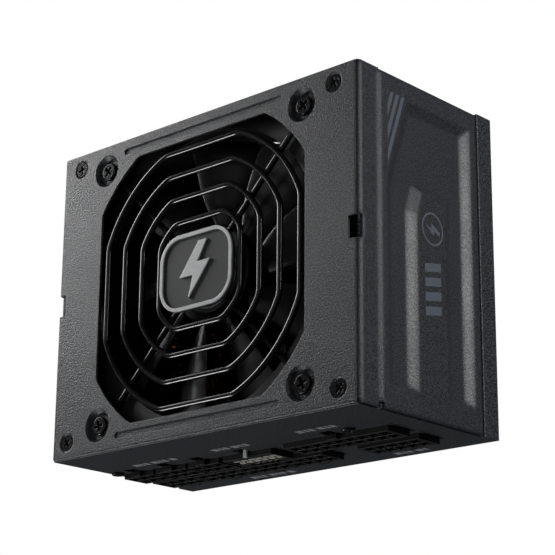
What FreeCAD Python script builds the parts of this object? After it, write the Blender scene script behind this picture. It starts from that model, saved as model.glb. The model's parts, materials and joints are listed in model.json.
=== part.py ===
"""Small-form-factor computer power supply with a 92 mm fan, as a parametric FreeCAD document.

Frame, in millimetres: X is the width, +Y is the mains inlet wall, -Y is the output sockets wall,
Z = 0 is the label face that the unit rests on, and the fan faces +Z.
"""
import FreeCAD, Part
import Sketcher
import math
import os

DIMENSIONS = """
case_width 125 outside width
case_depth 100 outside depth
case_height 63.5 outside height
sheet_thick 0.8 steel sheet
bend_radius 1.0 outside radius of a bent edge
lid_inset_x 1.6 fan panel edge in from the outside width
lid_inset_y 0.2 fan panel edge in from the outside depth
side_step 0.5 how far the main side panel stands proud of its upper strip
strip_drop 8.9 height of the upper strip on the side
step_rise 0.7 height of the sloped step under it
hem_height 7.5 height of the base's side hem
hem_gap 0.8 gap between side panel and hem
panel_end_front 0.4 side panel's gap to the sockets face
panel_end_back 1.1 side panel's gap to the inlet face
tab_depth 5.5 end wall's tab behind the side panel
lip_depth 6.8 end wall's lip under the fan panel
lip_width 70 its length between the fan screw dimples
channel_depth 1.6 depth of the pressed channel
channel_slope 3.3 width of its sloped wall
vent_half 42.7 half width of the fan opening
vent_radius 50.3 circle that cuts the opening's corners
fan_pitch 82.5 fan screw spacing
fan_size 92 fan frame side
fan_thick 15 fan frame thickness
fan_bore 44.6 duct radius
dimple_radius 5.3 dimple at each fan screw
dimple_depth 1.6 its depth
panel_edge_radius 0.7 rounding of the fan panel's long edges
bead_length 66.7 pressed bead length
bead_width 2 its width
bead_depth 0.4 its depth
bead_y 45.5 its distance from the centre
notch_depth 2.4 notch in the fan panel's edge
notch_width 6.8 its length
lid_screw_x_back 53.4 cover screw place
lid_screw_x_front 55 cover screw place
lid_screw_y 44.7 cover screw place
wire_radius 0.9 grille wire
ring_count 4 grille rings
ring_half 40 outer ring half width
ring_radius 42.7 outer ring corner radius
ring_pitch 7.8 ring to ring
ring_drop 0.6 ring centre below the panel face
badge_width 29.6 centre badge
badge_height 23.8 centre badge
badge_corner 8 its corner radius
badge_thick 1.6 its thickness
badge_rise 0.7 above the panel face
badge_rim 1.1 its raised rim
badge_relief 0.6 depth of its field
hub_radius 15.5 rotor hub
hub_drop 6 hub face below the panel face
hub_height 10.2 rotor hub height
blade_count 9 fan blades
blade_tip 43.3 blade tip radius
shaft_radius 1.5 rotor shaft
bearing_gap 0.03 running clearance of the shaft
post_radius 4 bearing post
post_bore 2.6 bore of the post
base_radius 15 motor base plate radius
board_z 5 underside of the main board
board_thick 1.6 circuit board thickness
board_width 116 main board
board_depth 80 main board
board_y 2.5 main board centre
modular_y 40.5 distance of the modular board's face from the centre
modular_low 4 lower edge of the modular board
modular_high 43.5 upper edge of the modular board
socket_pitch 4.2 power socket contact pitch
socket_proud 1.6 socket face out from the sockets wall
pin_side 1.07 square contact pin
mount_x 113 mounting screw spacing
mount_z 51.5 mounting screw spacing
mount_radius 1.75 mounting hole
inlet_x -34 mains inlet place
inlet_z 33.7 mains inlet place
inlet_long 27.4 inlet body
inlet_high 20.4 inlet body
inlet_flange 50 inlet flange width
inlet_rim 22 inlet flange height
inlet_lip 2 inlet flange thickness
inlet_deep 20 inlet body and flange, front to back
inlet_pitch 40 inlet screw spacing
switch_x -34 mains switch place
switch_z 16 mains switch place
switch_long 19.2 switch bezel
switch_wide 12.9 switch bezel
label_width 96 label
label_depth 62 label
label_thick 0.15 label
hex_flat 4 vent hole across flats
hex_web 1 metal between vent holes
"""

doc = FreeCAD.newDocument("power_supply")
dim = doc.addObject("Spreadsheet::Sheet", "dim")
for row, line in enumerate(DIMENSIONS.strip().splitlines(), start=1):
    alias, amount, meaning = line.split(" ", 2)
    dim.set("A%d" % row, meaning)
    dim.set("B%d" % row, amount)
    dim.setAlias("B%d" % row, alias)
doc.recompute()

V = FreeCAD.Vector
UP = V(0, 0, 1)
ALONG_X = V(1, 0, 0)
ALONG_Y = V(0, 1, 0)
NODES = []


# ---------------------------------------------------------------- helpers

def size(alias):
    """A driving dimension, as a number."""
    return float(dim.get(alias))


def bind(item, name, rule):
    """Tie one property to a sheet rule or a plain number."""
    item.setExpression(name, str(rule))


def place(item, at=(0, 0, 0), turn=0, about=UP):
    """Put an item at a place given by sheet rules, turned about its own origin."""
    item.Placement = FreeCAD.Placement(V(0, 0, 0), FreeCAD.Rotation(about, turn))
    for axis, rule in zip("xyz", at):
        bind(item, "Placement.Base." + axis, rule)
    return item


def add(kind, name, at=(0, 0, 0), turn=0, about=UP, **rules):
    """A Part primitive whose sizes are sheet rules."""
    item = doc.addObject("Part::" + kind, name)
    for prop, rule in rules.items():
        bind(item, prop, rule)
    return place(item, at, turn, about)


def block(name, size_rules, centre, low_z):
    """A box centred in X and Y on a place, standing on a height."""
    length, width, height = [str(rule) for rule in size_rules]
    at = ("(%s) - (%s) / 2" % (centre[0], length), "(%s) - (%s) / 2" % (centre[1], width), low_z)
    return add("Box", name, at, Length=length, Width=width, Height=height)


def join(name, pieces):
    """One solid from touching pieces."""
    item = doc.addObject("Part::MultiFuse", name)
    item.Shapes = pieces
    item.Refine = True
    return item


def cut(name, base, tools):
    """The base with every tool taken away."""
    tool = tools[0] if len(tools) == 1 else join(name + "_tools", tools)
    item = doc.addObject("Part::Cut", name)
    item.Base = base
    item.Tool = tool
    item.Refine = True
    return item


def group(name, pieces):
    """Separate solids kept in one node."""
    item = doc.addObject("Part::Compound", name)
    item.Links = pieces
    return item


def made(name, shape):
    """A piece whose shape is worked out here from the sheet's sizes."""
    item = doc.addObject("Part::Feature", name)
    item.Shape = shape
    item.Placement = shape.Placement
    return item


def node(label, item):
    """Name a finished sub-part."""
    item.Label = label
    NODES.append(item)
    return item


def centred(width, depth, height, centre, low_z):
    """A plain box centred in X and Y."""
    return Part.makeBox(width, depth, height, V(centre[0] - width / 2, centre[1] - depth / 2, low_z))


def rounded_path(points, radius):
    """Straight runs joined by tangent arcs, as one wire."""
    points = [V(*point) for point in points]
    edges = []
    start = points[0]
    for before, corner, after in zip(points, points[1:], points[2:]):
        inward = (before - corner).normalize()
        onward = (after - corner).normalize()
        half = inward.getAngle(onward) / 2
        reach = radius / math.tan(half)
        first = corner + inward * reach
        last = corner + onward * reach
        middle_way = (inward + onward).normalize()
        middle = corner + middle_way * (radius / math.sin(half) - radius)
        edges.append(Part.LineSegment(start, first).toShape())
        edges.append(Part.Arc(first, middle, last).toShape())
        start = last
    edges.append(Part.LineSegment(start, points[-1]).toShape())
    return Part.Wire(edges)


def tube(points, bend, radius):
    """A round wire along a rounded path."""
    path = rounded_path(points, bend)
    heading = path.Edges[0].tangentAt(path.Edges[0].FirstParameter)
    profile = Part.Wire(Part.makeCircle(radius, V(*points[0]), heading))
    return path.makePipeShell([profile], True, False)


def clipped_square(half, radius, fillet, height):
    """A square whose corners are cut by a circle, with softened meetings, as a closed wire."""
    run = math.sqrt((radius - fillet) ** 2 - (half - fillet) ** 2)
    scale = radius / (radius - fillet)
    touch = V((half - fillet) * scale, run * scale, 0)
    centre = V(half - fillet, run, 0)
    side_end = V(half, run, 0)
    bisect = (side_end - centre + touch - centre).normalize() * fillet
    corner = V(radius * math.sqrt(0.5), radius * math.sqrt(0.5), 0)
    edges = []
    for quarter in range(4):
        turn = FreeCAD.Rotation(UP, 90 * quarter)
        lift = V(0, 0, height)

        def spot(x, y):
            return turn.multVec(V(x, y, 0)) + lift
        edges.append(Part.LineSegment(spot(half, -run), spot(half, run)).toShape())
        soft = centre + bisect
        edges.append(Part.Arc(spot(half, run), spot(soft.x, soft.y), spot(touch.x, touch.y)).toShape())
        edges.append(Part.Arc(spot(touch.x, touch.y), spot(corner.x, corner.y),
                              spot(touch.y, touch.x)).toShape())
        edges.append(Part.Arc(spot(touch.y, touch.x), spot(soft.y, soft.x), spot(run, half)).toShape())
    return Part.Wire(Part.__sortEdges__(edges))


# ---- PartDesign helpers

def body(name):
    """A PartDesign body."""
    return doc.addObject("PartDesign::Body", name)


def sketch(owner, name, lift, plane="XY_Plane"):
    """A sketch on one of the body's own planes, lifted along its normal by a sheet rule."""
    item = owner.newObject("Sketcher::SketchObject", name)
    support = [part for part in owner.Origin.OriginFeatures if part.Role == plane][0]
    item.AttachmentSupport = [(support, "")]
    item.MapMode = "FlatFace"
    bind(item, "AttachmentOffset.Base.z", lift)
    return item


def outline(item, points):
    """A closed polygon in a sketch."""
    first = item.GeometryCount
    count = len(points)
    for index in range(count):
        start = V(*points[index], 0)
        end = V(*points[(index + 1) % count], 0)
        item.addGeometry(Part.LineSegment(start, end), False)
    for index in range(count):
        after = first + (index + 1) % count
        item.addConstraint(Sketcher.Constraint("Coincident", first + index, 2, after, 1))


def rectangle(item, label, width, depth):
    """A rectangle about the sketch's origin, its sides bound to sheet rules."""
    first = item.GeometryCount
    outline(item, [(-5, -5), (5, -5), (5, 5), (-5, 5)])
    item.addConstraint(Sketcher.Constraint("Horizontal", first))
    item.addConstraint(Sketcher.Constraint("Vertical", first + 1))
    item.addConstraint(Sketcher.Constraint("Horizontal", first + 2))
    item.addConstraint(Sketcher.Constraint("Vertical", first + 3))
    item.addConstraint(Sketcher.Constraint("Symmetric", first, 1, first + 1, 2, -1, 1))
    for edge, way, rule in ((first, "x", width), (first + 1, "y", depth)):
        kind = "DistanceX" if way == "x" else "DistanceY"
        index = item.addConstraint(Sketcher.Constraint(kind, edge, 1, edge, 2, 10.0))
        item.renameConstraint(index, label + "_" + way)
        bind(item, "Constraints." + label + "_" + way, rule)


def rounded_rectangle(item, width, depth, radius):
    """A rectangle with round corners about the sketch's origin."""
    half_x = width / 2
    half_y = depth / 2
    run_x = half_x - radius
    run_y = half_y - radius
    soft = radius * math.sqrt(0.5)
    item.addGeometry(Part.LineSegment(V(-run_x, -half_y, 0), V(run_x, -half_y, 0)), False)
    item.addGeometry(Part.Arc(V(run_x, -half_y, 0), V(run_x + soft, -run_y - soft, 0),
                              V(half_x, -run_y, 0)), False)
    item.addGeometry(Part.LineSegment(V(half_x, -run_y, 0), V(half_x, run_y, 0)), False)
    item.addGeometry(Part.Arc(V(half_x, run_y, 0), V(run_x + soft, run_y + soft, 0),
                              V(run_x, half_y, 0)), False)
    item.addGeometry(Part.LineSegment(V(run_x, half_y, 0), V(-run_x, half_y, 0)), False)
    item.addGeometry(Part.Arc(V(-run_x, half_y, 0), V(-run_x - soft, run_y + soft, 0),
                              V(-half_x, run_y, 0)), False)
    item.addGeometry(Part.LineSegment(V(-half_x, run_y, 0), V(-half_x, -run_y, 0)), False)
    item.addGeometry(Part.Arc(V(-half_x, -run_y, 0), V(-run_x - soft, -run_y - soft, 0),
                              V(-run_x, -half_y, 0)), False)


def circle(item, label, centre, radius):
    """A circle whose radius is bound to a sheet rule, centred at a place."""
    index = item.addGeometry(Part.Circle(V(*centre, 0), UP, 1.0), False)
    if centre == (0, 0):
        item.addConstraint(Sketcher.Constraint("Coincident", index, 3, -1, 1))
    ring = item.addConstraint(Sketcher.Constraint("Radius", index, 1.0))
    item.renameConstraint(ring, label)
    bind(item, "Constraints." + label, radius)


def pad(owner, profile, name, length):
    """Material added upwards from a sketch."""
    item = owner.newObject("PartDesign::Pad", name)
    item.Profile = profile
    bind(item, "Length", length)
    return item


def pocket(owner, profile, name, depth, upwards=False):
    """Material taken from a sketch's side."""
    item = owner.newObject("PartDesign::Pocket", name)
    item.Profile = profile
    bind(item, "Length", depth)
    item.Reversed = upwards
    return item


# Components on the main board: centre x, centre y, width, depth, height.
COMPONENTS = """
film_capacitor -13.5 30 13 24 30
bulk_capacitor 40 19 30 30 33
main_transformer 8 0 30 26 27
resonant_choke -18 4 16 20 20
standby_transformer 44 -9 15 17 16
bridge_rectifier 10 35.4 18 3.4 20
primary_heatsink 12 39 36 3 35
secondary_heatsink 6 -21.5 44 3 32
control_board 42 -24 26 1.6 24
"""
for line in COMPONENTS.strip().splitlines():
    name, *amounts = line.split(" ")
    for ending, amount in zip(("x", "y", "wide", "deep", "tall"), amounts):
        row += 1
        dim.set("A%d" % row, name + " " + ending)
        dim.set("B%d" % row, amount)
        dim.setAlias("B%d" % row, name + "_" + ending)
doc.recompute()

BOARD_TOP = "(dim.board_z + dim.board_thick)"
LID_UNDER = "(dim.case_height - dim.sheet_thick)"
SOCKETS = [
    # name, contacts across, centre x, centre z, latch above (1) or below (-1), narrower than full width
    ("peripheral_sockets", 3, (-51.7, -37.4, -23.1), 30.8, 1, 1.2),
    ("graphics_sockets", 4, (-47.9, -29.6, -11.3, 7.0), 19.8, -1, 1.0),
    ("mainboard_socket_wide", 9, (31.5,), 32.8, 1, 0.06),
    ("mainboard_socket_narrow", 5, (39.9,), 19.0, -1, 0.06),
]
FINE_SOCKET = (-4.9, 30.8)


def standing(kind, ending=""):
    """A component's box shape standing on the main board."""
    return block(kind + ending, ["dim.%s_%s" % (kind, side) for side in ("wide", "deep", "tall")],
                 ("dim.%s_x" % kind, "dim.%s_y" % kind), BOARD_TOP)


def socket_width(contacts, narrower):
    """Outside width of a power socket."""
    return contacts * size("socket_pitch") + 1.8 - narrower


SOCKET_HIGH = 2 * size("socket_pitch") + 1.4


# ---------------------------------------------------------------- case

def round_edges(name, item, radius_of):
    """Fillet the edges that a rule gives a radius."""
    doc.recompute()
    picked = []
    for index, edge in enumerate(item.Shape.Edges, start=1):
        radius = radius_of(edge)
        if radius:
            picked.append((index, radius, radius))
    fillet = doc.addObject("Part::Fillet", name)
    fillet.Base = item
    fillet.Edges = picked
    return fillet


def bent_edge(edge):
    """Radius of the base's outside edges that a press brake would round, or 0."""
    box = edge.BoundBox
    half_x = size("case_width") / 2
    half_y = size("case_depth") / 2
    top = size("case_height") - size("sheet_thick")
    near = 0.01
    along_floor = box.ZMax < near and box.DiagonalLength > 50
    along_lip = (box.ZMin > top - near and box.XLength > 50
                 and min(abs(box.YMin - half_y), abs(box.YMin + half_y)) < near)
    tab_x = half_x - size("sheet_thick")
    along_tab = (box.ZLength > 30 and abs(abs(box.Center.x) - tab_x) < near
                 and abs(abs(box.Center.y) - half_y) < near)
    hem_end = (abs(abs(box.Center.x) - half_x) < near and abs(box.ZMax - size("hem_height")) < near
               and box.YLength > 50)
    if along_floor:
        return size("bend_radius") - 0.25
    if along_lip:
        return size("bend_radius") / 4
    return size("bend_radius") / 2 if along_tab or hem_end else 0


def end_wall(name, side):
    """One end wall's pieces: foot, main face, top face, tabs behind the side panels, lip."""
    edge_y = "-dim.case_depth / 2" if side < 0 else "dim.case_depth / 2 - dim.sheet_thick"
    inner_y = "-dim.case_depth / 2" if side < 0 else "dim.case_depth / 2 - dim.%s"
    step_z = "(dim.case_height - dim.strip_drop - dim.step_rise)"
    full = "dim.case_width"
    main = "(dim.case_width - 2 * dim.sheet_thick)"
    high = "(dim.case_width - 2 * dim.sheet_thick - 2 * dim.side_step)"
    pieces = [
        add("Box", name + "_foot", ("-%s / 2" % full, edge_y, 0),
            Length=full, Width="dim.sheet_thick", Height="dim.hem_height"),
        add("Box", name + "_face", ("-%s / 2" % main, edge_y, 0),
            Length=main, Width="dim.sheet_thick", Height=step_z),
        add("Box", name + "_top", ("-%s / 2" % high, edge_y, 0),
            Length=high, Width="dim.sheet_thick", Height=LID_UNDER),
        add("Box", name + "_lip", ("-dim.lip_width / 2", inner_y % "lip_depth" if side > 0 else inner_y,
                                   LID_UNDER + " - dim.sheet_thick"),
            Length="dim.lip_width", Width="dim.lip_depth", Height="dim.sheet_thick"),
    ]
    for hand, tab_x in (("left", "-dim.case_width / 2 + dim.sheet_thick"),
                        ("right", "dim.case_width / 2 - 2 * dim.sheet_thick")):
        pieces.append(add("Box", "%s_tab_%s" % (name, hand),
                          (tab_x, inner_y % "tab_depth" if side > 0 else inner_y,
                           "dim.hem_height + dim.hem_gap"),
                          Length="dim.sheet_thick", Width="dim.tab_depth",
                          Height=step_z + " - dim.hem_height - dim.hem_gap"))
    return pieces


def hex_vents():
    """Hexagonal prisms for the exhaust grille in the inlet wall."""
    pitch = size("hex_flat") + size("hex_web")
    corner = size("hex_flat") / math.sqrt(3)
    low_x, high_x, low_z, high_z = -3, 57, 7, 57
    mount_keep = 5.5
    rows = int((high_z - low_z) / (pitch * math.sqrt(0.75)))
    prisms = []
    for line in range(rows):
        z = low_z + (line + 0.5) * pitch * math.sqrt(0.75)
        x = low_x + pitch / 2 + (line % 2) * pitch / 2
        while x < high_x:
            corners_away = abs(abs(x) - size("mount_x") / 2) < mount_keep
            ends_away = abs(abs(z - size("case_height") / 2) - size("mount_z") / 2) < mount_keep
            if not (corners_away and ends_away):
                ring = [V(x + corner * math.sin(math.radians(60 * turn)), 0,
                          z + corner * math.cos(math.radians(60 * turn))) for turn in range(7)]
                face = Part.Face(Part.makePolygon(ring))
                face.translate(V(0, size("case_depth") / 2 - 2, 0))
                prisms.append(face.extrude(V(0, 4, 0)))
            x += pitch
    return Part.makeCompound(prisms)


def wall_cuts():
    """Openings in both end walls."""
    deep = 4
    front = -size("case_depth") / 2 - deep / 2
    back = size("case_depth") / 2 - deep / 2
    gap = 0.25
    cuts = []
    for _, contacts, places, z, latch, narrower in SOCKETS:
        for x in places:
            width = socket_width(contacts, narrower) + 2 * gap
            cuts.append(Part.makeBox(width, deep, SOCKET_HIGH + 2 * gap,
                                     V(x - width / 2, front, z - SOCKET_HIGH / 2 - gap)))
            if latch > 0:
                cuts.append(Part.makeBox(4.4, deep, 4.6, V(x - 2.2, front, z + SOCKET_HIGH / 2)))
    x, z = FINE_SOCKET
    cuts.append(Part.makeBox(20.5, deep, SOCKET_HIGH + 0.5, V(x - 10.25, front, z - SOCKET_HIGH / 2 - gap)))
    cuts.append(Part.makeBox(4.4, deep, 4.6, V(x - 2.2, front, z + SOCKET_HIGH / 2)))
    for x, z in MODULAR_SCREWS:
        cuts.append(Part.makeCylinder(1.7, deep, V(x, front, z), ALONG_Y))
    for x in (-size("mount_x") / 2, size("mount_x") / 2):
        for z in (-size("mount_z") / 2, size("mount_z") / 2):
            centre = V(x, back, size("case_height") / 2 + z)
            cuts.append(Part.makeCylinder(size("mount_radius"), deep, centre, ALONG_Y))
    x, z = size("inlet_x"), size("inlet_z")
    cuts.append(Part.makeBox(size("inlet_long") + gap, deep, size("inlet_high") + gap,
                             V(x - (size("inlet_long") + gap) / 2, back,
                               z - (size("inlet_high") + gap) / 2)))
    for side in (-1, 1):
        centre = V(x + side * size("inlet_pitch") / 2, back, z)
        cuts.append(Part.makeCylinder(1.6, deep, centre, ALONG_Y))
    x, z = size("switch_x"), size("switch_z")
    cuts.append(Part.makeBox(size("switch_long") - 2, deep, size("switch_wide") - 1.6,
                             V(x - size("switch_long") / 2 + 1, back, z - size("switch_wide") / 2 + 0.8)))
    return Part.makeCompound(cuts)


MODULAR_SCREWS = ((39.5, 41), (-58.5, 38.4))


def hem_laps():
    """Strips inside the side hems that close the gap under the side panels."""
    sheet = size("sheet_thick")
    long = size("case_depth") - 2 * size("tab_depth") - 1
    root_low = 2.0
    hem = size("hem_height")
    clear = 0.05
    strips = []
    for side in (-1, 1):
        middle = side * (size("case_width") / 2 - 1.5 * sheet)
        root = centred(sheet, long, hem - root_low, (middle, 0), root_low)
        rise = centred(sheet - clear, long, 2, (middle - side * clear / 2, 0), hem)
        strips.append(made("hem_lap%d" % len(strips), root.fuse(rise).removeSplitter()))
    return strips


def make_base_shell():
    """Floor, hems and both end walls, bent from one sheet."""
    floor = add("Box", "floor_sheet", ("-dim.case_width / 2", "-dim.case_depth / 2", 0),
                Length="dim.case_width", Width="dim.case_depth", Height="dim.sheet_thick")
    pieces = [floor]
    for hand, x in (("left", "-dim.case_width / 2"), ("right", "dim.case_width / 2 - dim.sheet_thick")):
        pieces.append(add("Box", "hem_" + hand, (x, "-dim.case_depth / 2", 0),
                          Length="dim.sheet_thick", Width="dim.case_depth", Height="dim.hem_height"))
    pieces += end_wall("front_wall", -1)
    pieces += end_wall("back_wall", 1)
    pieces += hem_laps()
    folded = round_edges("folded_sheet", join("base_sheet", pieces), bent_edge)
    recess = block("label_recess", ("dim.label_width", "dim.label_depth", "dim.label_thick"), (0, 0), 0)
    vents = made("vent_tools", hex_vents())
    openings = made("wall_tools", wall_cuts())
    opened = cut("opened_shell", folded, [openings])
    vented = cut("vented_shell", opened, [vents])
    node("base_shell", cut("base_shell", vented, [recess]))


def channel_solid(outer_x, side):
    """The pressed channel as a solid, its rim on a plane, tapering inwards to its floor."""
    top = size("case_height")
    back = size("case_depth") / 2
    slope = size("channel_slope")
    floor_x = outer_x - size("channel_depth")

    def spot(down, along, x):
        return V(side * x, back - along, top - down)
    rim = [(12.7, 92.5), (12.7, 32.7), (22, 6.5), (51.9, 6.5), (51.9, 92.5), (39.6, 92.5),
           (39.6, 32.7), (28, 32.7), (25.7, 40.3), (25.7, 92.5)]
    floor = [(12.7 + slope, 92.5 - 1.5), (12.7 + slope, 33.3), (22 + 0.8 * slope, 6.5 + slope),
             (51.9 - slope, 6.5 + slope), (51.9 - slope, 92.5 - 1.5), (39.6 + slope, 92.5 - 1.5),
             (39.6 + slope, 32.7 - 1.5), (28 - 0.8 * slope, 32.7 - 1.5), (25.7 - slope, 39.7),
             (25.7 - slope, 92.5 - 1.5)]
    rim_points = [spot(down, along, outer_x) for down, along in rim]
    floor_points = [spot(down, along, floor_x) for down, along in floor]
    faces = [Part.Face(Part.makePolygon(rim_points + rim_points[:1])),
             Part.Face(Part.makePolygon(floor_points + floor_points[:1]))]
    count = len(rim)
    for index in range(count):
        after = (index + 1) % count
        upper = Part.LineSegment(rim_points[index], rim_points[after]).toShape()
        lower = Part.LineSegment(floor_points[index], floor_points[after]).toShape()
        faces.append(Part.makeRuledSurface(upper, lower))
    solid = Part.makeSolid(Part.makeShell(faces))
    if solid.Volume < 0:
        solid.reverse()
    return solid


def side_section():
    """The side panel's bent outline in X and Z, for the right-hand side."""
    outer = size("case_width") / 2
    sheet = size("sheet_thick")
    strip = outer - size("side_step")
    top = size("case_height") - sheet
    step_high = size("case_height") - size("strip_drop")
    step_low = step_high - size("step_rise")
    low = size("hem_height") + size("hem_gap")
    inner = size("fan_size") / 2 + 1
    corners = [(outer, low), (outer, step_low), (strip, step_high), (strip, top), (inner, top),
               (inner, top - sheet), (strip - sheet, top - sheet), (strip - sheet, step_high),
               (outer - sheet, step_low), (outer - sheet, low)]
    return corners


def make_side_panel(name, side):
    """A side panel: upper strip bent under the fan panel, joggle, main face with its channel."""
    half_y = size("case_depth") / 2
    front = -half_y + size("panel_end_front")
    corners = [V(side * x, front, z) for x, z in side_section()]
    face = Part.Face(Part.makePolygon(corners + corners[:1]))
    sheet = face.extrude(V(0, 2 * half_y - size("panel_end_front") - 0.2, 0))
    if sheet.Volume < 0:
        sheet.reverse()
    strip = size("case_width") / 2 - size("side_step")
    top = size("case_height") - size("sheet_thick")
    bend = [edge for edge in sheet.Edges if edge.BoundBox.YLength > 50
            and abs(abs(edge.BoundBox.Center.x) - strip) < 0.01
            and abs(edge.BoundBox.Center.z - top) < 0.01]
    sheet = sheet.makeFillet(size("bend_radius"), bend)
    step_high = size("case_height") - size("strip_drop")
    trim_low = V(side * size("case_width") / 2 - 4, half_y - size("panel_end_back"), 0)
    sheet = sheet.cut(Part.makeBox(8, 4, step_high - 0.3, trim_low))
    notch = V(side * size("case_width") / 2 - 4, -half_y - 1, step_high - 1.6)
    sheet = sheet.cut(Part.makeBox(8, 3, 1.8, notch))
    ear = V(side * size("case_width") / 2 - 9.5, -size("notch_width") / 2 + 0.2, top - 1.3)
    if side < 0:
        ear.x = -size("case_width") / 2 - 0.5
    sheet = sheet.cut(Part.makeBox(10, size("notch_width"), 3, ear))
    for y in (-half_y, half_y):
        lap = Part.makeBox(20, 2 * size("sheet_thick") + 1, 2, V(side * 53 - 10, y - 1.3, top - 1.5))
        keep = Part.makeBox(20, 4, 3, V(side * (strip - size("sheet_thick") + 10) - 10, y - 2, top - 2))
        sheet = sheet.cut(lap.cut(keep))
    outer = size("case_width") / 2
    bulge = channel_solid(outer - size("sheet_thick"), side)
    hollow = channel_solid(outer, side)
    panel = sheet.fuse(bulge).cut(hollow).removeSplitter()
    for x, y in lid_screw_places():
        if x * side > 0:
            panel = panel.cut(Part.makeCylinder(1.65, 4, V(x, y, top - 3), UP))
    node(name, made(name, panel))


def lid_screw_places():
    """Cover screw centres."""
    y = size("lid_screw_y")
    back = size("lid_screw_x_back")
    front = size("lid_screw_x_front")
    return [(-back, y), (back, y), (-front, -y), (front, -y)]


def corner_places(spacing):
    """Four places on a square."""
    half = spacing / 2
    return [(-half, -half), (half, -half), (half, half), (-half, half)]


def make_fan_panel():
    """The flat cover with the fan opening, pressed beads, dimples, countersinks and edge notches."""
    panel = body("fan_panel")
    plate = sketch(panel, "fan_panel_outline", LID_UNDER)
    rectangle(plate, "plate", "dim.case_width - 2 * dim.lid_inset_x",
              "dim.case_depth - 2 * dim.lid_inset_y")
    pad(panel, plate, "fan_panel_plate", "dim.sheet_thick")
    dish = sketch(panel, "dimple_backs", LID_UNDER + " - dim.dimple_depth")
    for index, place_at in enumerate(corner_places(size("fan_pitch"))):
        circle(dish, "dish%d" % index, place_at, "dim.dimple_radius - 0.2")
    pad(panel, dish, "dimple_dishes", "dim.dimple_depth + dim.sheet_thick / 2")
    doc.recompute()
    mouth = sketch(panel, "fan_opening", "dim.case_height + 1")
    for edge in clipped_square(size("vent_half"), size("vent_radius"), 2, 0).Edges:
        mouth.addGeometry(edge_geometry(edge), False)
    pocket(panel, mouth, "fan_mouth", 10)
    bowl = sketch(panel, "dimple_mouths", "dim.case_height")
    for index, place_at in enumerate(corner_places(size("fan_pitch"))):
        circle(bowl, "bowl%d" % index, place_at, "dim.dimple_radius")
    bowls = pocket(panel, bowl, "dimple_bowls", "dim.dimple_depth")
    bowls.TaperAngle = -35
    screw_holes = sketch(panel, "fan_screw_holes", "dim.case_height")
    for index, place_at in enumerate(corner_places(size("fan_pitch"))):
        circle(screw_holes, "hole%d" % index, place_at, 2.1)
    pocket(panel, screw_holes, "fan_screw_cut", 8)
    sink = sketch(panel, "cover_screw_seats", "dim.case_height")
    for index, (x, y) in enumerate(lid_screw_places()):
        circle(sink, "seat%d" % index, (x, y), 3.1)
    seats = pocket(panel, sink, "countersinks", "dim.sheet_thick")
    seats.TaperAngle = -52
    bead = sketch(panel, "bead_outlines", "dim.case_height")
    half = size("bead_length") / 2 - size("bead_width") / 2
    radius = size("bead_width") / 2
    for y in (-size("bead_y"), size("bead_y")):
        bead.addGeometry(Part.LineSegment(V(-half, y - radius, 0), V(half, y - radius, 0)), False)
        bead.addGeometry(Part.Arc(V(half, y - radius, 0), V(half + radius, y, 0),
                                  V(half, y + radius, 0)), False)
        bead.addGeometry(Part.LineSegment(V(half, y + radius, 0), V(-half, y + radius, 0)), False)
        bead.addGeometry(Part.Arc(V(-half, y + radius, 0), V(-half - radius, y, 0),
                                  V(-half, y - radius, 0)), False)
    pocket(panel, bead, "beads", "dim.bead_depth")
    notch = sketch(panel, "edge_notches", "dim.case_height")
    half_w = size("case_width") / 2
    half_n = size("notch_width") / 2
    for side in (-1, 1):
        inner = side * (half_w - size("lid_inset_x") - size("notch_depth"))
        outer = side * half_w
        outline(notch, [(inner, -half_n), (outer, -half_n), (outer, half_n), (inner, half_n)])
    pocket(panel, notch, "edge_notch_cut", 3)
    round_panel_edges(panel)
    node("fan_panel", panel)


def round_panel_edges(panel):
    """Round the fan panel's two long upper edges."""
    doc.recompute()
    edge_y = size("case_depth") / 2 - size("lid_inset_y")
    near = 0.01
    long_edges = []
    for index, edge in enumerate(panel.Shape.Edges, start=1):
        box = edge.BoundBox
        if (box.XLength > 20 and abs(abs(box.Center.y) - edge_y) < near
                and box.ZMin > size("case_height") - near):
            long_edges.append("Edge%d" % index)
    cut_panel = panel.Tip
    rounded = panel.newObject("PartDesign::Fillet", "panel_edge_rounding")
    rounded.Base = (cut_panel, long_edges)
    bind(rounded, "Radius", "dim.panel_edge_radius")


def edge_geometry(edge):
    """A sketch element that follows an edge."""
    first = edge.valueAt(edge.FirstParameter)
    last = edge.valueAt(edge.LastParameter)
    flat = [V(spot.x, spot.y, 0) for spot in (first, last)]
    if edge.Curve.TypeId == "Part::GeomLine":
        return Part.LineSegment(*flat)
    middle = edge.valueAt((edge.FirstParameter + edge.LastParameter) / 2)
    return Part.Arc(flat[0], V(middle.x, middle.y, 0), flat[1])


# ---------------------------------------------------------------- screws

SCREW_TURN = 12


def screw_shape(head_radius, head_high, shank_radius, shank_long, sunk):
    """A cross-recessed screw pointing down, the top of its head at the origin."""
    if sunk:
        head = Part.makeCone(shank_radius, head_radius, head_high * 0.7, V(0, 0, -head_high), UP)
        head = head.fuse(Part.makeCylinder(head_radius, head_high * 0.3, V(0, 0, -head_high * 0.3), UP))
    else:
        head = Part.makeCylinder(head_radius, head_high, V(0, 0, -head_high), UP)
        rim = [edge for edge in head.Edges if edge.BoundBox.ZLength < 0.01 and edge.BoundBox.ZMin > -0.01]
        head = head.makeFillet(min(0.6, head_high * 0.4), rim)
    shank = Part.makeCylinder(shank_radius, shank_long, V(0, 0, -head_high - shank_long), UP)
    screw = head.fuse(shank)
    arm = head_radius * 1.3
    slot = head_radius * 0.34
    deep = head_high * 0.75
    for turn in (0, 90):
        bar = Part.makeBox(arm, slot, deep + 0.1, V(-arm / 2, -slot / 2, -deep))
        bar.rotate(V(0, 0, 0), UP, turn)
        screw = screw.cut(bar)
    return screw


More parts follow.
